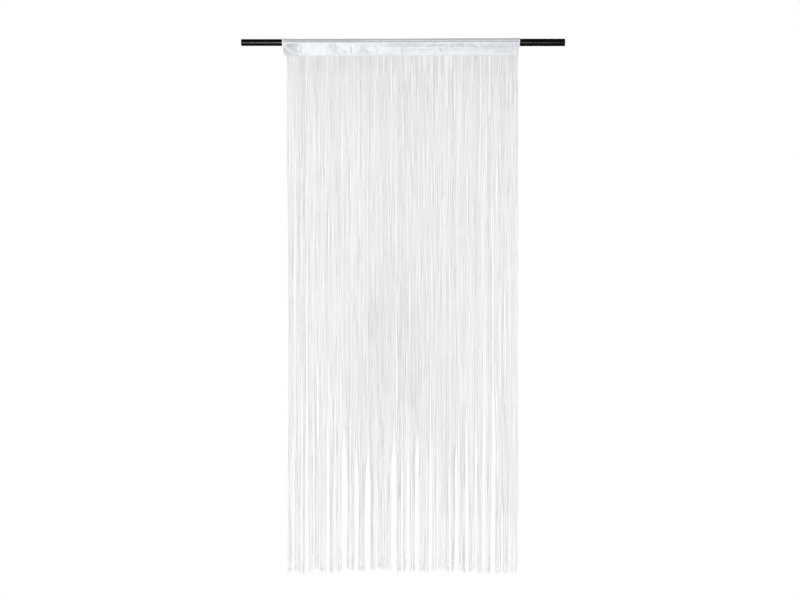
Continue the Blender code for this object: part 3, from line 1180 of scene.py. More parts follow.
    def relief(self, x: np.ndarray, z: np.ndarray, angle: np.ndarray) -> np.ndarray:
        """Adds up what lifts each point of the cloth off its smooth cross-section.

        Args:
            x: the points' places along the header.
            z: their heights.
            angle: the angles of their normals.

        Returns:
            How far each stands out.
        """
        drop, around = -z, angle * self.around_radius
        sewn = smooth_step((self.drop_at(x) - self.seam_height - drop) / self.sewn_run)
        on_front = smooth_step((self.front_ends - angle) / self.turn_run)
        on_back = smooth_step((angle - self.back_starts) / self.turn_run)
        front_keeps, back_keeps = self.sewn_keeps
        by_seam = mound(self.drop_at(x) - drop, self.pucker_reach)
        front = self.front_relief(x, drop) * lerp(front_keeps, 1.0, sewn)
        back = self.back_waves.at(x, drop) + by_seam * self.back_puckers.at(x, drop)
        top = np.maximum(self.top_waves.height + self.top_waves.at(x, around), 0.0)
        rise = front * on_front + back * on_back * lerp(back_keeps, 1.0, sewn)
        rise = rise + top * (1.0 - on_front - on_back)
        for edge in (x - self.left_x, self.right_x - x):
            rise = rise + self.hem_step * smooth_step((self.hem_width - edge) / self.hem_step_run)
            rise = rise + self.fold * mound(edge, self.fold_reach) * (1.0 - on_back)
            rise = rise + mound(edge, self.hem_pucker_reach) * self.hem_puckers.at(around + drop)
        return rise

    def corner_x(self, drop: np.ndarray, on_front: np.ndarray) -> np.ndarray:
        """Returns where the left edge is at each drop, on the drawn front layer or on the back one."""
        return np.where(on_front, along_profile(drop, self.corner), along_profile(drop, self.back_corner))

    def curled(self, inside: np.ndarray, drawn: np.ndarray) -> np.ndarray:
        """Curls the drawn edge: a roll just inside it, with the edge itself tucked back.

        Args:
            inside: how far each place is inside the edge.
            drawn: how far the edge is drawn in there.

        Returns:
            How far each place stands out.
        """
        height, middle, width = self.curl
        depth, reach = self.tuck
        roll = height * mound(inside - middle, width) - depth * mound(inside, reach)
        return smooth_step(drawn / self.curls_from) * roll

    def clear_of_rod(self, x: np.ndarray, y: np.ndarray, z: np.ndarray) -> tuple[np.ndarray, np.ndarray]:
        """Pushes out whatever would be inside the rod.

        Args:
            x: the points' places along the header.
            y: their depths.
            z: their heights.

        Returns:
            Their new depths and heights.
        """
        least = self.rod.radius_at(x) + self.cloth / 2 + self.rod_gap
        push = np.maximum(least / np.maximum(np.hypot(y, z), 1e-6), 1.0)
        return y * push, z * push

    def kept_apart(self, x: np.ndarray, y: np.ndarray, z: np.ndarray, side: np.ndarray) -> np.ndarray:
        """Keeps the two layers below the rod from crossing the middle between them.

        Args:
            x: the points' places along the header.
            y: their depths.
            z: their heights.
            side: -1 for those on the front layer and 1 for those on the back one.

        Returns:
            Their new depths.
        """
        middle = self.seam_y(x)
        off = (y - middle) * side
        eased = np.logaddexp(0.0, (off - self.layer_keeps) / self.layer_eases)
        held = self.layer_keeps + self.layer_eases * eased
        return middle + side * lerp(off, held, self.layers_meet.at(-z))

    def surface(self) -> dict[str, np.ndarray]:
        """Works out the cloth's middle surface.

        Returns:
            points, normals and cloth_uv, each for every station and row.
        """
        stations = lerp(self.left_x, self.right_x, np.linspace(0.0, 1.0, self.stations + 1))
        y, z, angle = self.loop(stations)
        flat_x = np.repeat(stations[:, None], y.shape[1], axis=1)
        on_front = angle < math.pi
        drawn = self.corner_x(-z, on_front) - self.left_x
        reach = np.where(on_front, self.corner_reach, self.corner_reach / 3.0)
        x = flat_x + drawn * np.exp(-(flat_x - self.left_x) / reach)
        rise = self.relief(x, z, angle) + on_front * self.curled(x - self.left_x - drawn, drawn)
        outward = np.stack([np.zeros_like(y), -np.sin(angle), -np.cos(angle)], axis=-1)
        out_y, out_z = self.clear_of_rod(x, y + rise * outward[..., 1], z + rise * outward[..., 2])
        out_y = self.kept_apart(x, out_y, out_z, np.where(on_front, -1.0, 1.0))
        slant = self.edge_slant * self.share(x).clip(0.0, 1.0) ** self.slant_power
        out_x = x - slant * smooth_step(-out_z / self.drop_at(x))
        steps = np.hypot(np.diff(y, axis=1), np.diff(z, axis=1))
        around = np.pad(np.cumsum(steps, axis=1), ((0, 0), (1, 0)))
        return {
            "points": np.stack([out_x, out_y, out_z], axis=-1),
            "normals": outward,
            "cloth_uv": np.stack([flat_x, around], axis=-1),
        }

    def build(self, effects: SharedEffects) -> tuple[bpy.types.Object, dict[str, np.ndarray]]:
        """Builds the satin.

        Args:
            effects: the shared shader groups.

        Returns:
            The piece, and the surface that it follows.
        """
        surface = self.surface()
        columns, rows = surface["points"].shape[:2]
        numbers = np.arange(columns * rows).reshape(columns, rows)
        quads = [numbers[:-1, :-1], numbers[:-1, 1:], numbers[1:, 1:], numbers[1:, :-1]]
        faces = np.stack(quads, axis=-1).reshape(-1, 4)
        mesh = bpy.data.meshes.new("header_satin")
        mesh.from_pydata(surface["points"].reshape(-1, 3).tolist(), [], faces.tolist())
        uv_map = mesh.uv_layers.new(name=CLOTH_MAP)
        corners = np.zeros(len(mesh.loops), np.int32)
        mesh.loops.foreach_get("vertex_index", corners)
        cloth_uv = surface["cloth_uv"].reshape(-1, 2)[corners]
        uv_map.data.foreach_set("uv", cloth_uv.astype(np.float32).ravel())
        mesh.materials.append(SATIN.material(effects))
        mesh.shade_smooth()
        piece = new_object(mesh.name, mesh)
        solidify = piece.modifiers.new("cloth", "SOLIDIFY")
        solidify.thickness, solidify.offset = self.cloth, 0.0
        solidify.use_even_offset = False
        return to_piece(made_plain(piece), Slot.SATIN, "header"), surface


@dataclass
class Stitching:
    """Rows of machine stitches: along the seam, front and back, and down the side hems."""

    name: str = "header_stitches"
    pitch: float = 0.0027
    thread: float = 0.00042
    sides: int = 5
    bend_steps: int = 5
    half_length: float = 0.41
    arch: float = 1.5
    sunk: float = 0.6
    raised: float = 0.25
    hem_stitch_in: float = 0.0125
    rows_clear: int = 2
    seed: int = 7

    def tree(self) -> ShapeTree:
        """Builds the tree that sets a stitch at each step along its guide lines.

        Returns:
            The tree.
        """
        tree = ShapeTree("machine_stitches", {"Pitch": "NodeSocketFloat", "Thread": "NodeSocketFloat"})
        pitch, thread = tree.inputs["Pitch"], tree.inputs["Thread"]
        line = tree.add("GeometryNodeMeshToCurve", {"Mesh": tree.inputs["Geometry"]})
        steps = tree.add("GeometryNodeCurveToPoints", {"Curve": line, "Length": pitch}, mode="LENGTH")
        axes = {"Primary Axis": steps.outputs["Tangent"]}
        axes["Secondary Axis"] = tree.named("outward", "FLOAT_VECTOR")
        facing = tree.add("FunctionNodeAxesToRotation", axes, primary_axis="X", secondary_axis="Z")
        sunk = tree.math("MULTIPLY", thread, -self.sunk)
        bend = {"Resolution": self.bend_steps}
        for name, reach in (("Start", -self.half_length), ("End", self.half_length)):
            end = {"X": tree.math("MULTIPLY", pitch, reach), "Z": sunk}
            bend[name] = tree.add("ShaderNodeCombineXYZ", end)
        bend["Middle"] = tree.add("ShaderNodeCombineXYZ", {"Z": tree.math("MULTIPLY", thread, self.arch)})
        arch = tree.add("GeometryNodeCurveQuadraticBezier", bend)
        along = tree.add("GeometryNodeSplineParameter").outputs["Length"]
        ring = tree.ring(self.sides, tree.math("MULTIPLY", thread, 0.5))
        stitch = tree.sweep(tree.store(arch, "along", along), ring)
        stitches = {"Points": steps.outputs["Points"], "Instance": stitch, "Rotation": facing}
        sewn = tree.add("GeometryNodeInstanceOnPoints", stitches)
        tone = tree.random(0.0, 1.0, tree.add("GeometryNodeInputIndex"))
        tree.finish(tree.store(sewn, "tone", tone, domain="INSTANCE"))
        return tree

    def guide(self, header: Header, surface: dict[str, np.ndarray]) -> bpy.types.Mesh:
        """Picks the lines of the satin that the stitches follow.

        Args:
            header: the header.
            surface: the surface that its satin follows.

        Returns:
            The guide mesh.
        """
        points, normals = surface["points"], surface["normals"]
        raised = points + normals * (header.cloth / 2 + self.thread * self.raised)
        station = (header.right_x - header.left_x) / header.stations
        inset = round(self.hem_stitch_in / station)
        inner = slice(self.rows_clear, -self.rows_clear)
        seam_rows = (header.strip_rows, points.shape[1] - 1 - header.strip_rows)
        picked = [(inner, row) for row in seam_rows]
        picked += [(station_at, inner) for station_at in (inset, header.stations - inset)]
        outward = ("FLOAT_VECTOR", np.concatenate([normals[place] for place in picked]))
        return guide_mesh(self.name, [raised[place] for place in picked], {"outward": outward})

    def build(
        self, header: Header, surface: dict[str, np.ndarray], effects: SharedEffects
    ) -> bpy.types.Object:
        """Sews the header.

        Args:
            header: the header.
            surface: the surface that its satin follows.
            effects: the shared shader groups.

        Returns:
            The piece.
        """
        values = {"Pitch": self.pitch, "Thread": self.thread, "Seed": self.seed}
        values["Material"] = THREAD.material(effects)
        piece = self.tree().run(self.name, self.guide(header, surface), values)
        return to_piece(piece, Slot.SATIN)


# Strings


@dataclass(frozen=True)
class Bundle:
    """Strings that hang together, and the slot on their right-hand side."""

    slot_x: float
    opens_drop: float
    slot_width: float
    left_end_drop: float
    right_end_drop: float


@dataclass(frozen=True)
class Slit:
    """One long narrow parting: its place, where it opens and closes, its width and how soon it opens."""

    x: float
    opens_drop: float
    closes_drop: float
    width: float
    run: float = 0.10

    def open_share(self, drop: np.ndarray) -> np.ndarray:
        """Returns how far open the slit is at each drop, 0 to 1."""
        opens, closes = self.opens_drop, self.closes_drop
        return Band((opens, opens + self.run), (closes, closes + self.run)).at(drop)


@dataclass(frozen=True)
class PartingZone:
    """Where narrow partings open between strings, how many, and how large they are."""

    count: int
    from_drop: float
    to_drop: float
    shortest: float
    longest: float
    widths: tuple[float, float]
    reach: float


@dataclass(frozen=True)
class ClumpHabit:
    """How a few neighbouring strings hang together. Each range is the one that a clump draws from."""

    size: tuple[int, int] = (2, 8)
    pull: tuple[float, float] = (0.10, 0.50)
    opens_drop: tuple[float, float] = (0.35, 1.60)
    sway: tuple[float, float] = (0.0001, 0.0009)
    sway_length: tuple[float, float] = (0.45, 1.30)
    gathers_over: float = 0.35


@dataclass(frozen=True)
class Wander:
    """A string's own slow waves: their size, the range of their length, and how much deeper they go."""

    reach: float
    shortest: float
    longest: float
    deeper: float
    sizes: tuple[float, float] = (0.2, 1.8)


@dataclass
class Hang:
    """The strings as they hang: arrays with a row for each string and a column for each of its levels."""

    bundle: np.ndarray
    share: np.ndarray
    drop: np.ndarray
    down: np.ndarray
    to_end: np.ndarray
    x: np.ndarray
    y: np.ndarray

    def waves(self, size: Reading, length: Reading, phase: Reading) -> np.ndarray:
        """Returns waves down the strings, of a size, a length and a phase."""
        return size * np.sin(FULL_TURN * self.drop / length + phase)


@dataclass(frozen=True)
class Kinks:
    """The small kinks that a string has near its loose end."""

    reach: float = 0.0015
    lengths: tuple[float, float] = (0.020, 0.046)
    starts: float = 0.130
    grows_over: float = 0.10
    second: float = 0.4
    rates: tuple[float, float] = (2.1, 1.9)
    phases: tuple[float, float] = (5.0, 3.0)
    lean: float = 0.0012
    lean_over: float = 0.05


STRINGS_LEFT_X, STRINGS_RIGHT_X = (corner[0] for corner in solid_box("strings"))
# Each row: the slot's x, the drop where it opens, its width, and the drops of the bundle's two ends.
BUNDLES = tuple(Bundle(*row) for row in (
    (-0.4129, 1.454, 0.0075, 1.984, 1.973), (-0.3799, 1.379, 0.0075, 1.972, 1.982),
    (-0.3611, 1.435, 0.0090, 1.984, 1.981), (-0.3360, 1.454, 0.0056, 1.983, 1.976),
    (-0.2835, 1.454, 0.0094, 1.968, 1.982), (-0.2561, 1.600, 0.0080, 1.974, 1.983),
    (-0.2216, 1.491, 0.0170, 1.970, 1.982), (-0.1747, 1.560, 0.0160, 1.966, 1.978),
    (-0.1323, 1.590, 0.0220, 1.979, 1.977), (-0.1060, 1.640, 0.0075, 1.976, 1.972),
    (-0.0340, 1.529, 0.0200, 1.965, 1.974), (-0.0039, 1.600, 0.0075, 1.975, 1.978),
    (0.0178, 1.560, 0.0140, 1.981, 1.976), (0.0336, 1.642, 0.0056, 1.975, 1.977),
    (0.0523, 1.510, 0.0130, 1.973, 1.975), (0.1049, 1.529, 0.0100, 1.977, 1.980),
    (0.1274, 1.642, 0.0050, 1.973, 1.970), (0.1762, 1.604, 0.0086, 1.968, 1.982),
    (0.2005, 1.529, 0.0120, 1.980, 1.976), (0.2392, 1.398, 0.0075, 1.972, 1.986),
    (0.2737, 1.454, 0.0075, 1.981, 1.972), (0.3056, 1.416, 0.0120, 1.983, 1.985),
    (0.3375, 1.341, 0.0140, 1.981, 1.984), (STRINGS_RIGHT_X, 1.500, 0.0, 1.988, 1.981),
))
BUNDLE_ENDS_X = np.array([bundle.slot_x for bundle in BUNDLES])
BUNDLE_STARTS_X = np.concatenate([[STRINGS_LEFT_X], BUNDLE_ENDS_X[:-1]])
# Each row: x, the drops where it opens and closes, its width, and its run where it is a short one.
SLITS = tuple(Slit(*row) for row in (
    (-0.4073, 0.02, 0.08, 0.0018, 0.02), (-0.3585, 0.05, 0.10, 0.0030, 0.02),
    (-0.3285, 0.02, 0.14, 0.0016, 0.02), (-0.2835, 0.04, 0.14, 0.0026, 0.03),
    (-0.1671, 0.06, 0.20, 0.0028, 0.03), (-0.0959, 0.02, 0.12, 0.0020, 0.02),
    (-0.0733, 0.02, 0.10, 0.0032, 0.02), (-0.0433, 0.05, 0.20, 0.0030, 0.03),
    (0.0355, 0.06, 0.18, 0.0028, 0.03), (0.0617, 0.05, 0.10, 0.0026, 0.02),
    (0.0767, 0.02, 0.10, 0.0020, 0.02), (0.1105, 0.05, 0.16, 0.0026, 0.03),
    (0.1368, 0.05, 0.14, 0.0024, 0.02), (0.1635, 0.02, 0.24, 0.0052, 0.02),
    (0.1818, 0.05, 0.10, 0.0030, 0.02), (0.2910, 0.02, 0.24, 0.0028, 0.02),
    (0.3247, 0.02, 0.26, 0.0038, 0.02), (-0.4250, 0.30, 0.42, 0.0034), (-0.4060, 0.32, 1.50, 0.0046),
    (-0.3915, 1.26, 1.66, 0.0034), (-0.3980, 1.70, 2.05, 0.0034), (-0.3812, 0.44, 0.90, 0.0058),
    (-0.3600, 0.44, 1.44, 0.0038), (-0.3510, 0.44, 0.66, 0.0030), (-0.3350, 0.28, 0.74, 0.0032),
    (-0.3370, 1.02, 1.45, 0.0034), (-0.3190, 1.16, 1.44, 0.0062), (-0.3205, 1.62, 1.84, 0.0036),
    (-0.3020, 0.42, 0.54, 0.0040), (-0.2990, 1.28, 1.38, 0.0044), (-0.2780, 0.60, 0.72, 0.0044),
    (-0.2780, 1.16, 2.05, 0.0055), (-0.2680, 1.28, 1.46, 0.0038), (-0.2525, 1.28, 1.58, 0.0052),
    (-0.2400, 1.38, 1.84, 0.0036), (-0.2310, 1.04, 1.14, 0.0038), (-0.1995, 1.36, 2.05, 0.0060),
    (-0.1965, 0.44, 0.54, 0.0042), (-0.1450, 1.04, 1.14, 0.0032), (-0.0980, 1.60, 2.05, 0.0052),
    (-0.0735, 1.60, 1.88, 0.0040), (-0.0660, 1.60, 1.72, 0.0040), (-0.0227, 0.92, 1.30, 0.0036),
    (0.1075, 0.42, 0.54, 0.0038), (0.1445, 1.70, 2.05, 0.0042), (0.1520, 1.70, 2.05, 0.0056),
    (0.1650, 0.42, 0.54, 0.0034), (0.2090, 1.36, 1.70, 0.0050), (0.2260, 1.60, 1.72, 0.0034),
    (0.2395, 0.42, 0.72, 0.0038), (0.2578, 1.36, 1.72, 0.0040), (0.2640, 1.72, 2.05, 0.0056),
    (0.3060, 0.42, 0.54, 0.0050), (0.3080, 0.88, 1.34, 0.0036), (0.3210, 1.70, 2.05, 0.0034),
    (0.3370, 0.56, 1.30, 0.0048), (0.3510, 0.42, 0.58, 0.0048), (0.3635, 0.88, 1.26, 0.0048),
    (0.3835, 0.88, 1.26, 0.0050), (0.3695, 1.68, 2.05, 0.0070), (0.4020, 1.82, 2.05, 0.0080),
    (0.4160, 1.82, 2.05, 0.0060),
))


@dataclass(frozen=True)
class FrayedEnds:
    """The fibres that spread from the strings' loose ends. Their bend and thickness are shares of length."""

    name: str = "string_ends"
    fibres: int = 7
    lengths: tuple[float, float] = (0.006, 0.014)
    thickness: float = 0.016
    sides: int = 3
    spread: float = 0.26
    bend: tuple[tuple[float, float, float], ...] = ((0.0, 0.0, 0.15), (0.02, 0.10, -0.5), (0.12, -0.06, -1.0))
    tip: float = 0.3
    tone_seed: int = 21
    seed: int = 22

    def tree(self) -> ShapeTree:
        """Builds the tree that spreads fibres from each string's loose end.

        Returns:
            The tree.
        """
        sizes = ("Shortest", "Longest", "Thickness", "Spread")
        sockets = {"Fibres": "NodeSocketInt"} | dict.fromkeys(sizes, "NodeSocketFloat")
        tree = ShapeTree("frayed_ends", sockets)
        inputs = tree.inputs
        ends = tree.add("GeometryNodeMeshToPoints", {"Mesh": inputs["Geometry"]})
        copied = {"Geometry": ends, "Amount": inputs["Fibres"]}
        copies = tree.add("GeometryNodeDuplicateElements", copied, domain="POINT")
        number = tree.add("GeometryNodeInputIndex")
        lean = tree.math("MULTIPLY", tree.random(-1.0, 1.0, number), inputs["Spread"])
        spin = tree.random(0.0, FULL_TURN, number, 1)
        size = tree.random(inputs["Shortest"], inputs["Longest"], number, 2)
        start, middle, end = self.bend
        bend = {"Resolution": self.sides, "Start": start, "Middle": middle, "End": end}
        curve = tree.add("GeometryNodeCurveQuadraticBezier", bend)
        reached = tree.add("GeometryNodeSplineParameter").outputs["Factor"]
        thinner = tree.math("MULTIPLY_ADD", reached, self.tip - 1.0, 1.0)
        circle = {"Resolution": self.sides, "Radius": inputs["Thickness"]}
        fibre = tree.sweep(curve, tree.add("GeometryNodeCurvePrimitiveCircle", circle), thinner)
        angles = tree.add("ShaderNodeCombineXYZ", {"X": lean, "Z": spin})
        rotation = tree.add("FunctionNodeEulerToRotation", {"Euler": angles})
        spread = {"Points": copies.outputs["Geometry"], "Instance": fibre, "Rotation": rotation}
        tree.finish(tree.add("GeometryNodeInstanceOnPoints", spread | {"Scale": size}))
        return tree

    def build(self, tips: np.ndarray, yarn: bpy.types.Material) -> bpy.types.Object:
        """Frays the strings' ends.

        Args:
            tips: each string's last point.
            yarn: the strings' material.

        Returns:
            The piece.
        """
        tones = np.random.default_rng(self.tone_seed).uniform(0.0, 1.0, len(tips))
        guide = guide_mesh(self.name, list(tips), {"tone": ("FLOAT", tones)})
        shortest, longest = self.lengths
        values = {"Fibres": self.fibres, "Shortest": shortest, "Longest": longest, "Spread": self.spread}
        values |= {"Thickness": self.thickness, "Seed": self.seed, "Material": yarn}
        return to_piece(self.tree().run(self.name, guide, values), Slot.YARN)


@dataclass
class StringFringe:
    """The loose strings: sewn in one even row, drawn into bundles and clumps lower down."""

    count: int = 560
    pieces: int = 4
    seed: int = 20
    # Each string's section, its slow twist, and its levels: how many points lie up to each share.
    width: float = 0.00150
    flatness: float = 0.64
    sides: int = 6
    twist_lengths: tuple[float, float] = (0.16, 0.55)
    twist_start: float = 1.4
    twist_fades: tuple[float, float] = (0.01, 0.14)
    own_widths: tuple[float, float] = (0.90, 1.08)
    tip_width: float = 0.65
    tip_length: float = 0.010
    spans: tuple[tuple[float, int], ...] = ((0.23, 23), (0.895, 39), (1.0, 37))
    # The two ends of the strings.
    tucked_in: float = 0.0040
    end_shorter: float = 0.007
    end_spread: float = 0.0055
    end_limits: tuple[float, float] = (-0.028, 0.003)
    # Across: slots between the bundles, partings between the strings, and clumps.
    slit: float = 0.0014
    slit_opens: Band = Band((0.9, 1.5))
    opening_run: float = 0.15
    opening_lead: float = 0.07
    drawn_in: float = 0.0042
    draws_in: Band = Band((0.35, 0.80))
    parting_seed: int = 25
    parting_run: float = 0.45
    parting_near: float = 5.0
    slit_reach: float = 0.0055
    parts_over: float = 0.012
    parts_over_at_edge: float = 0.05
    edge_zone: float = 0.010
    ripples: Ripples = Ripples(20, 0.030, 0.150, 0.0007, 0.08)
    ripples_grow: float = 0.15
    clumps: ClumpHabit = ClumpHabit()
    # In depth: layers, and bundles that stand in front of the seam and behind it in turn.
    layer_step: float = 0.00135
    layers_part: float = 0.15
    standoff: float = 0.0015
    sway: float = 0.0026
    sway_length: float = 0.85
    sway_phase_step: float = 1.9
    sways: Band = Band((0.012, 0.312))
    # Each string's own waves and kinks.
    loose_over: float = 0.5
    wanders: tuple[Wander, ...] = (Wander(0.00042, 0.30, 0.90, 1.2), Wander(0.00022, 0.16, 0.40, 1.0))
    kinks: Kinks = Kinks()
    ends: FrayedEnds = FrayedEnds()
    # Each row: count, the drops that they start between, their lengths, widths and reach.
    partings: tuple[PartingZone, ...] = (
        PartingZone(400, 0.03, 1.10, 0.10, 0.80, (0.0010, 0.0024), 0.0026),
        PartingZone(90, 0.03, 0.45, 0.07, 0.50, (0.0024, 0.0042), 0.0030),
        PartingZone(80, 0.10, 0.90, 0.12, 0.90, (0.0024, 0.0040), 0.0032),
        PartingZone(230, 1.15, 1.90, 0.15, 0.60, (0.0010, 0.0034), 0.0035),
        PartingZone(50, 1.25, 1.60, 0.90, 1.50, (0.0030, 0.0050), 0.0040),
        PartingZone(80, -0.05, 0.03, 0.12, 0.40, (0.0010, 0.0024), 0.0022),
    )

    def slot_half_width(self, slot: np.ndarray, drop: np.ndarray) -> np.ndarray:
        """Works out how wide a slot is.

        Args:
            slot: each place's slot number.
            drop: how far down each place is.

        Returns:
            Half of the slot's width there, and 0 outside the first and last slot.
        """
        inside = (slot >= 0) & (slot < len(BUNDLES) - 1)
        held = np.clip(slot, 0, len(BUNDLES) - 1)
        opens = np.array([bundle.opens_drop for bundle in BUNDLES])[held]
        width = np.array([bundle.slot_width for bundle in BUNDLES])[held]
        opened = smooth_step((drop - opens + self.opening_lead) / self.opening_run)
        full = self.slit * self.slit_opens.at(drop) + (width - self.slit) * opened
        return np.where(inside, full / 2, 0.0)

    def parted(self, x: np.ndarray, drop: np.ndarray) -> np.ndarray:
        """Opens many narrow partings between neighbouring strings.

        Args:
            x: the strings' places along the header.
            drop: how far down they are.

        Returns:
            How far each place is pushed aside.
        """
        rng = np.random.default_rng(self.parting_seed)
        pushed = np.zeros_like(x)
        for zone in [zone for zone in self.partings for _ in range(zone.count)]:
            centre = rng.uniform(STRINGS_LEFT_X, STRINGS_RIGHT_X)
            start = rng.uniform(zone.from_drop, zone.to_drop)
            length = math.exp(rng.uniform(math.log(zone.shortest), math.log(zone.longest)))
            width = rng.uniform(*zone.widths)
            near = np.abs(x[:, 0] - centre) < self.parting_near * zone.reach
            run, end = self.parting_run * length, start + length
            open_share = Band((start, start + run), (end - run, end)).at(drop[near])
            aside = x[near] - centre
            push = np.sign(aside) * np.exp(-np.abs(aside) / zone.reach)
            pushed[near] += width / 2 * push * open_share
        for slit in SLITS:
            aside = x - slit.x
            push = np.sign(aside) * mound(aside, self.slit_reach)
            pushed += slit.width / 2 * push * slit.open_share(drop)
        return pushed

    def levels(self) -> np.ndarray:
        """Lays out the levels that every string has, closer together near its two ends.

        Returns:
            Each level's share of the string's length.
        """
        shares, start = [np.zeros(1)], 0.0
        for end, count in self.spans:
            shares.append(np.linspace(start, end, count + 1)[1:])
            start = end
        return np.concatenate(shares)

    def clumped(self, rng: np.random.Generator, bundle: np.ndarray, share: np.ndarray) -> list[np.ndarray]:
        """Joins neighbouring strings of each bundle into clumps.

        Args:
            rng: the source of the random draws.
            bundle: each string's bundle.
            share: how far across its bundle each string is.

        Returns:
            For each string: how far across the bundle its clump is, and what its clump drew, which
            is the pull, the drop where it opens, and the sway's size, length and phase.
        """
        habit, clump, middle = self.clumps, np.zeros(len(share), int), share.copy()
        at = 0
        while at < len(share):
            members = np.arange(at, min(at + int(rng.integers(*habit.size)), len(share)))
            members = members[bundle[members] == bundle[at]]
            clump[members] = clump.max() + 1
            middle[members] = share[members].mean()
            at = members[-1] + 1
        ranges = (habit.pull, habit.opens_drop, habit.sway, habit.sway_length, (0.0, FULL_TURN))
        drawn = [rng.uniform(*limits, clump.max() + 1)[clump] for limits in ranges]
        return [values[:, None] for values in (middle, *drawn)]

    def spread_across(self, hang: Hang) -> None:
        """Spreads the strings across their bundles, between the slots, and opens the partings.

        Args:
            hang: the strings.
        """
        left = BUNDLE_STARTS_X[hang.bundle] + self.slot_half_width(hang.bundle - 1, hang.drop)
        left = left + np.where(hang.bundle == 0, self.drawn_in, 0.0) * self.draws_in.at(hang.drop)
        right = BUNDLE_ENDS_X[hang.bundle] - self.slot_half_width(hang.bundle, hang.drop)
        x = lerp(left, right, hang.share)
        inwards = smooth_step(np.minimum(x - STRINGS_LEFT_X, STRINGS_RIGHT_X - x) / self.edge_zone)
        parts_over = lerp(self.parts_over_at_edge, self.parts_over, inwards)
        x = x + self.parted(x, hang.drop) * smooth_step(hang.down / parts_over)
        hang.x = x + smooth_step(hang.down / self.ripples_grow) * self.ripples.at(x, hang.drop)

    def spread_in_depth(self, rng: np.random.Generator, hang: Hang) -> None:
        """Spreads the strings in depth: bundles forwards and back in turn, and strings in layers.

        Args:
            rng: the source of the random draws.
            hang: the strings.
        """
        turns = self.count // 3 + 1
        layer = np.concatenate([rng.permutation([-1.0, 0.0, 1.0]) for _ in range(turns)])[:self.count]
        side = np.where(hang.bundle % 2 == 1, self.standoff, -self.standoff)
        wave = hang.waves(self.sway, self.sway_length, self.sway_phase_step * hang.bundle)
        y = lerp(hang.y, side + wave, self.sways.at(hang.down))
        hang.y = y + layer[:, None] * self.layer_step * smooth_step(hang.down / self.layers_part)

    def add_wander(self, rng: np.random.Generator, hang: Hang, loose: np.ndarray) -> None:
        """Adds each string's own slow waves.

        Args:
            rng: the source of the random draws.
            hang: the strings.
            loose: how free each place is, 0 to 1.
        """
        for wander in self.wanders:
            waves = []
            for _ in range(2):
                length = rng.uniform(wander.shortest, wander.longest, (self.count, 1))
                phase = rng.uniform(0.0, FULL_TURN, (self.count, 1))
                size = wander.reach * rng.uniform(*wander.sizes, (self.count, 1))
                waves.append(loose * hang.waves(size, length, phase))
            hang.x = hang.x + waves[0]
            hang.y = hang.y + wander.deeper * waves[1]

    def add_kinks(self, rng: np.random.Generator, hang: Hang) -> None:
        """Adds the kinks near the loose ends.

        Args:
            rng: the source of the random draws.
            hang: the strings.
        """
        column, kinks = (self.count, 1), self.kinks
        own = rng.uniform(0.0, 1.0, column) ** 2
        length = rng.uniform(*kinks.lengths, column)
        phase = rng.uniform(0.0, FULL_TURN, column)
        size = kinks.reach * own * smooth_step((kinks.starts - hang.to_end) / kinks.grows_over)
        turns = FULL_TURN * hang.to_end / length + phase
        second_x, second_y = [
            kinks.second * np.sin(rate * turns + ahead * phase)
            for rate, ahead in zip(kinks.rates, kinks.phases)
        ]
        lean = kinks.lean * rng.normal(0.0, 1.0, column)
        leaning = lean * smooth_step((kinks.lean_over - hang.to_end) / kinks.lean_over)
        hang.x = hang.x + size * (np.sin(turns) + second_x) + leaning
        hang.y = hang.y + size * (np.cos(turns) + second_y)

    def routes(self, header: Header) -> dict[str, np.ndarray]:
        """Works out where every string hangs.

        Args:
            header: the header that they hang from.

        Returns:
            points of each string, and along and to_end, the distances from its two ends.
        """
        rng = np.random.default_rng(self.seed)
        n = self.count
        top_x = lerp(STRINGS_LEFT_X, STRINGS_RIGHT_X, (np.arange(n) + 0.5) / n)
        bundle = np.searchsorted(BUNDLE_ENDS_X[:-1], top_x)
        left_x = BUNDLE_STARTS_X[bundle]
        share = (top_x - left_x) / (BUNDLE_ENDS_X[bundle] - left_x)
        clump_share, pull, opens, *sway = self.clumped(rng, bundle, share)

        ends = np.array([(b.left_end_drop, b.right_end_drop) for b in BUNDLES])[bundle]
        uneven = np.clip(rng.normal(-self.end_shorter, self.end_spread, n), *self.end_limits)
        end_drop = (lerp(ends[:, 0], ends[:, 1], share) + uneven)[:, None]
        seam_drop = header.drop_at(top_x)[:, None]
        drop = lerp(seam_drop - self.tucked_in, end_drop, self.levels()[None, :])
        down = drop - seam_drop
        loose = smooth_step(down / self.loose_over)
        gathered = pull * smooth_step((drop - opens) / self.clumps.gathers_over)
        share = share[:, None] + (clump_share - share[:, None]) * gathered
        top_x, top_y = top_x[:, None], header.seam_y(top_x)[:, None]

        hang = Hang(bundle[:, None], share, drop, down, end_drop - drop, top_x, top_y)
        self.spread_across(hang)
        hang.x = hang.x + loose * hang.waves(*sway)
        self.spread_in_depth(rng, hang)
        self.add_wander(rng, hang, loose)
        self.add_kinks(rng, hang)
        for line in (hang.x, hang.y):
            line[:, 0] = line[:, 1]
        points = np.stack([hang.x, hang.y, -drop], axis=-1)
        steps = np.linalg.norm(np.diff(points, axis=1), axis=2)
        along = np.pad(np.cumsum(steps, axis=1), ((0, 0), (1, 0)))
        return {"points": points, "along": along, "to_end": along[:, -1:] - along}

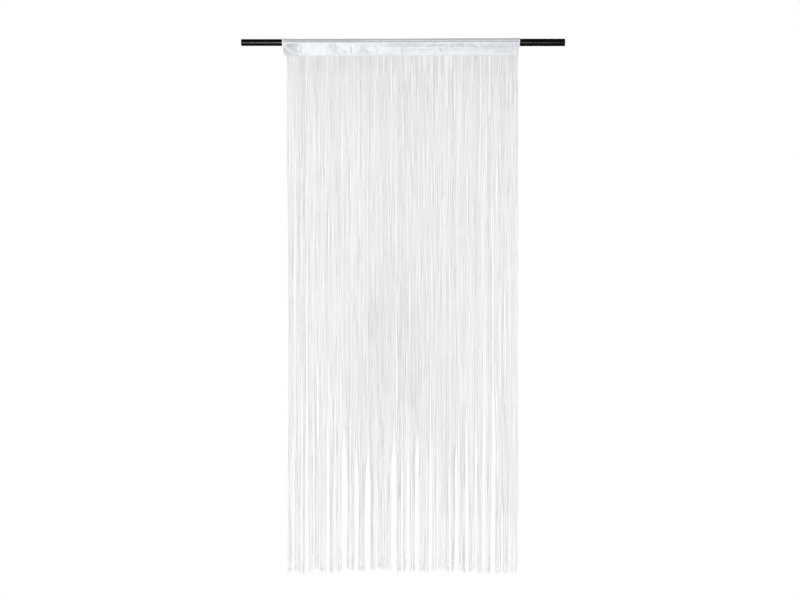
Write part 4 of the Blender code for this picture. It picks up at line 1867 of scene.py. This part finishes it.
    def tree(self) -> ShapeTree:
        """Builds the tree that turns guide lines into flat twisted strings.

        Returns:
            The tree.
        """
        sizes = ("Width", "Flatness", "Shortest Turn", "Longest Turn")
        sockets = {"Sides": "NodeSocketInt"} | dict.fromkeys(sizes, "NodeSocketFloat")
        tree = ShapeTree("twisted_strings", sockets)
        inputs = tree.inputs
        strand, along, to_end = tree.named("strand", "INT"), tree.named("along"), tree.named("to_end")
        line = tree.add("GeometryNodeMeshToCurve", {"Mesh": inputs["Geometry"]})
        turn_length = tree.random(inputs["Shortest Turn"], inputs["Longest Turn"], strand)
        start = tree.math("MULTIPLY", tree.random(-1.0, 1.0, strand, 1), self.twist_start)
        turned = tree.math("MULTIPLY_ADD", tree.math("DIVIDE", along, turn_length), FULL_TURN, start)
        tilt = tree.math("MULTIPLY", turned, tree.ramp(along, *self.twist_fades))
        tilted = tree.add("GeometryNodeSetCurveTilt", {"Curve": line, "Tilt": tilt})
        ring = tree.ring(inputs["Sides"], tree.math("MULTIPLY", inputs["Width"], 0.5))
        flat = tree.add("ShaderNodeCombineXYZ", {"X": 1.0, "Y": inputs["Flatness"], "Z": 1.0})
        ring = tree.add("GeometryNodeTransform", {"Geometry": ring, "Scale": flat})
        tip = tree.ramp(to_end, 0.0, self.tip_length)
        taper = tree.math("MULTIPLY_ADD", tip, 1.0 - self.tip_width, self.tip_width)
        own_width = tree.math("MULTIPLY", tree.random(*self.own_widths, strand, 2), taper)
        swept = tree.sweep(tilted, ring, own_width)
        tree.finish(tree.store(swept, "tone", tree.random(0.0, 1.0, strand, 3)))
        return tree

    def build(self, header: Header, effects: SharedEffects) -> list[bpy.types.Object]:
        """Hangs the strings.

        Args:
            header: the header that they hang from.
            effects: the shared shader groups.

        Returns:
            The pieces.
        """
        yarn = YARN.material(effects)
        routes = self.routes(header)
        points = routes["points"]
        tree, made = self.tree(), []
        shortest, longest = self.twist_lengths
        values = {"Width": self.width, "Flatness": self.flatness, "Sides": self.sides}
        values |= {"Shortest Turn": shortest, "Longest Turn": longest, "Seed": self.seed, "Material": yarn}
        for number, group in enumerate(np.array_split(np.arange(self.count), self.pieces)):
            name = f"strings_{number + 1}"
            held = {key: ("FLOAT", routes[key][group]) for key in ("along", "to_end")}
            held["strand"] = ("INT", np.repeat(group, points.shape[1]))
            piece = tree.run(name, guide_mesh(name, list(points[group]), held), values)
            made.append(to_piece(piece, Slot.YARN, "strings"))
        return [*made, self.ends.build(points[:, -1:], yarn)]


# Studio


@dataclass(frozen=True)
class SoftBox:
    """A soft box light that faces the curtain's middle: its place, width and height, and power in watts."""

    name: str
    place: tuple[float, float, float]
    size: tuple[float, float]
    power: float
    target: tuple[float, float, float] = (0.0, 0.0, -1.0)

    def build(self) -> None:
        """Adds the light."""
        lamp = bpy.data.lights.new(self.name, "AREA")
        lamp.shape, (lamp.size, lamp.size_y), lamp.energy = "RECTANGLE", self.size, self.power
        light = new_object(self.name, lamp)
        light.location = self.place
        facing = Vector(self.target) - Vector(self.place)
        light.rotation_euler = facing.to_track_quat("-Z", "Y").to_euler()
        light.visible_camera = False


@dataclass
class Studio:
    """A plain white studio: floor, soft light and a level camera in front of the curtain."""

    distance: float = 4.0
    view_width: float = 3.0016
    aim: tuple[float, float] = (-0.01144, -0.966)
    sensor: float = 36.0
    sees_to: float = 200.0
    floor_z: float = -2.35
    floor_half: float = 30.0
    floor_grey: float = 0.60
    floor_roughness: float = 0.9
    fill: float = 0.47
    fill_colour: tuple[float, float, float, float] = (0.97, 0.985, 1.0, 1.0)
    glossy_fill: float = 0.03
    lights: tuple[SoftBox, ...] = (
        SoftBox("key", (-1.45, -5.1, -1.90), (2.5, 0.8), 156.0),
        SoftBox("key_right", (1.4, -5.2, -1.90), (1.7, 0.8), 46.0),
        SoftBox("back_fill", (0.8, 5.2, -0.6), (3.0, 2.0), 100.0),
    )

    def build(self) -> None:
        """Sets up the world, the floor, the lights and the camera."""
        scene = bpy.context.scene
        scene.view_settings.view_transform = "Standard"
        scene.world = self.world()
        self.build_floor()
        for light in self.lights:
            light.build()
        lens = bpy.data.cameras.new("camera")
        lens.sensor_width = self.sensor
        lens.lens = self.sensor * self.distance / self.view_width
        lens.clip_end = self.sees_to
        camera = new_object("camera", lens)
        camera.location = (self.aim[0], -self.distance, self.aim[1])
        camera.rotation_euler = (math.pi / 2, 0.0, 0.0)
        scene.camera = camera

    def world(self) -> bpy.types.World:
        """Makes a white backdrop that lights the curtain softly.

        Returns:
            The world.
        """
        world = bpy.data.worlds.new("white_studio")
        world.use_nodes = True
        web = NodeWeb(world.node_tree)
        path = web.add("ShaderNodeLightPath").outputs
        backdrop = web.add("ShaderNodeBackground", {"Color": WHITE, "Strength": 1.0})
        soft = web.add("ShaderNodeBackground", {"Color": self.fill_colour, "Strength": self.fill})
        dark = web.add("ShaderNodeBackground", {"Color": WHITE, "Strength": self.glossy_fill})
        lit = web.add("ShaderNodeMixShader", {0: path["Is Glossy Ray"], 1: soft, 2: dark})
        shown = web.add("ShaderNodeMixShader", {0: path["Is Camera Ray"], 1: lit, 2: backdrop})
        web.feed(world.node_tree.nodes["World Output"].inputs["Surface"], shown)
        return world

    def build_floor(self) -> None:
        """Lays a wide pale floor, which looks pure white itself."""
        material = bpy.data.materials.new("pale_floor")
        material.use_nodes = True
        nodes, web = material.node_tree.nodes, NodeWeb(material.node_tree)
        shader = nodes["Principled BSDF"]
        web.feed(shader.inputs["Base Color"], (*[self.floor_grey] * 3, 1.0))
        web.feed(shader.inputs["Roughness"], self.floor_roughness)
        web.feed(shader.inputs["Specular IOR Level"], 0.0)
        shown = web.add("ShaderNodeEmission", {"Color": WHITE, "Strength": 1.0})
        seen = web.add("ShaderNodeLightPath").outputs["Is Camera Ray"]
        mixed = web.add("ShaderNodeMixShader", {0: seen, 1: shader, 2: shown})
        web.feed(nodes["Material Output"].inputs["Surface"], mixed)
        half = self.floor_half
        corners = [(x * half, y * half, self.floor_z) for x, y in ((-1, -1), (1, -1), (1, 1), (-1, 1))]
        mesh = bpy.data.meshes.new("floor")
        mesh.from_pydata(corners, [], [(0, 1, 2, 3)])
        mesh.materials.append(material)
        floor = new_object("floor", mesh)
        floor.visible_glossy = False


def main() -> None:
    """Builds the curtain and sets up the studio."""
    logging.basicConfig(level=logging.INFO, format="%(name)s: %(message)s")
    effects = SharedEffects()
    Studio().build()
    rod = TelescopicRod()
    rod.build(effects)
    header = Header(rod)
    satin, surface = header.build(effects)
    stitches = Stitching().build(header, surface, effects)
    strings = StringFringe().build(header, effects)


if __name__ == "__main__":
    main()
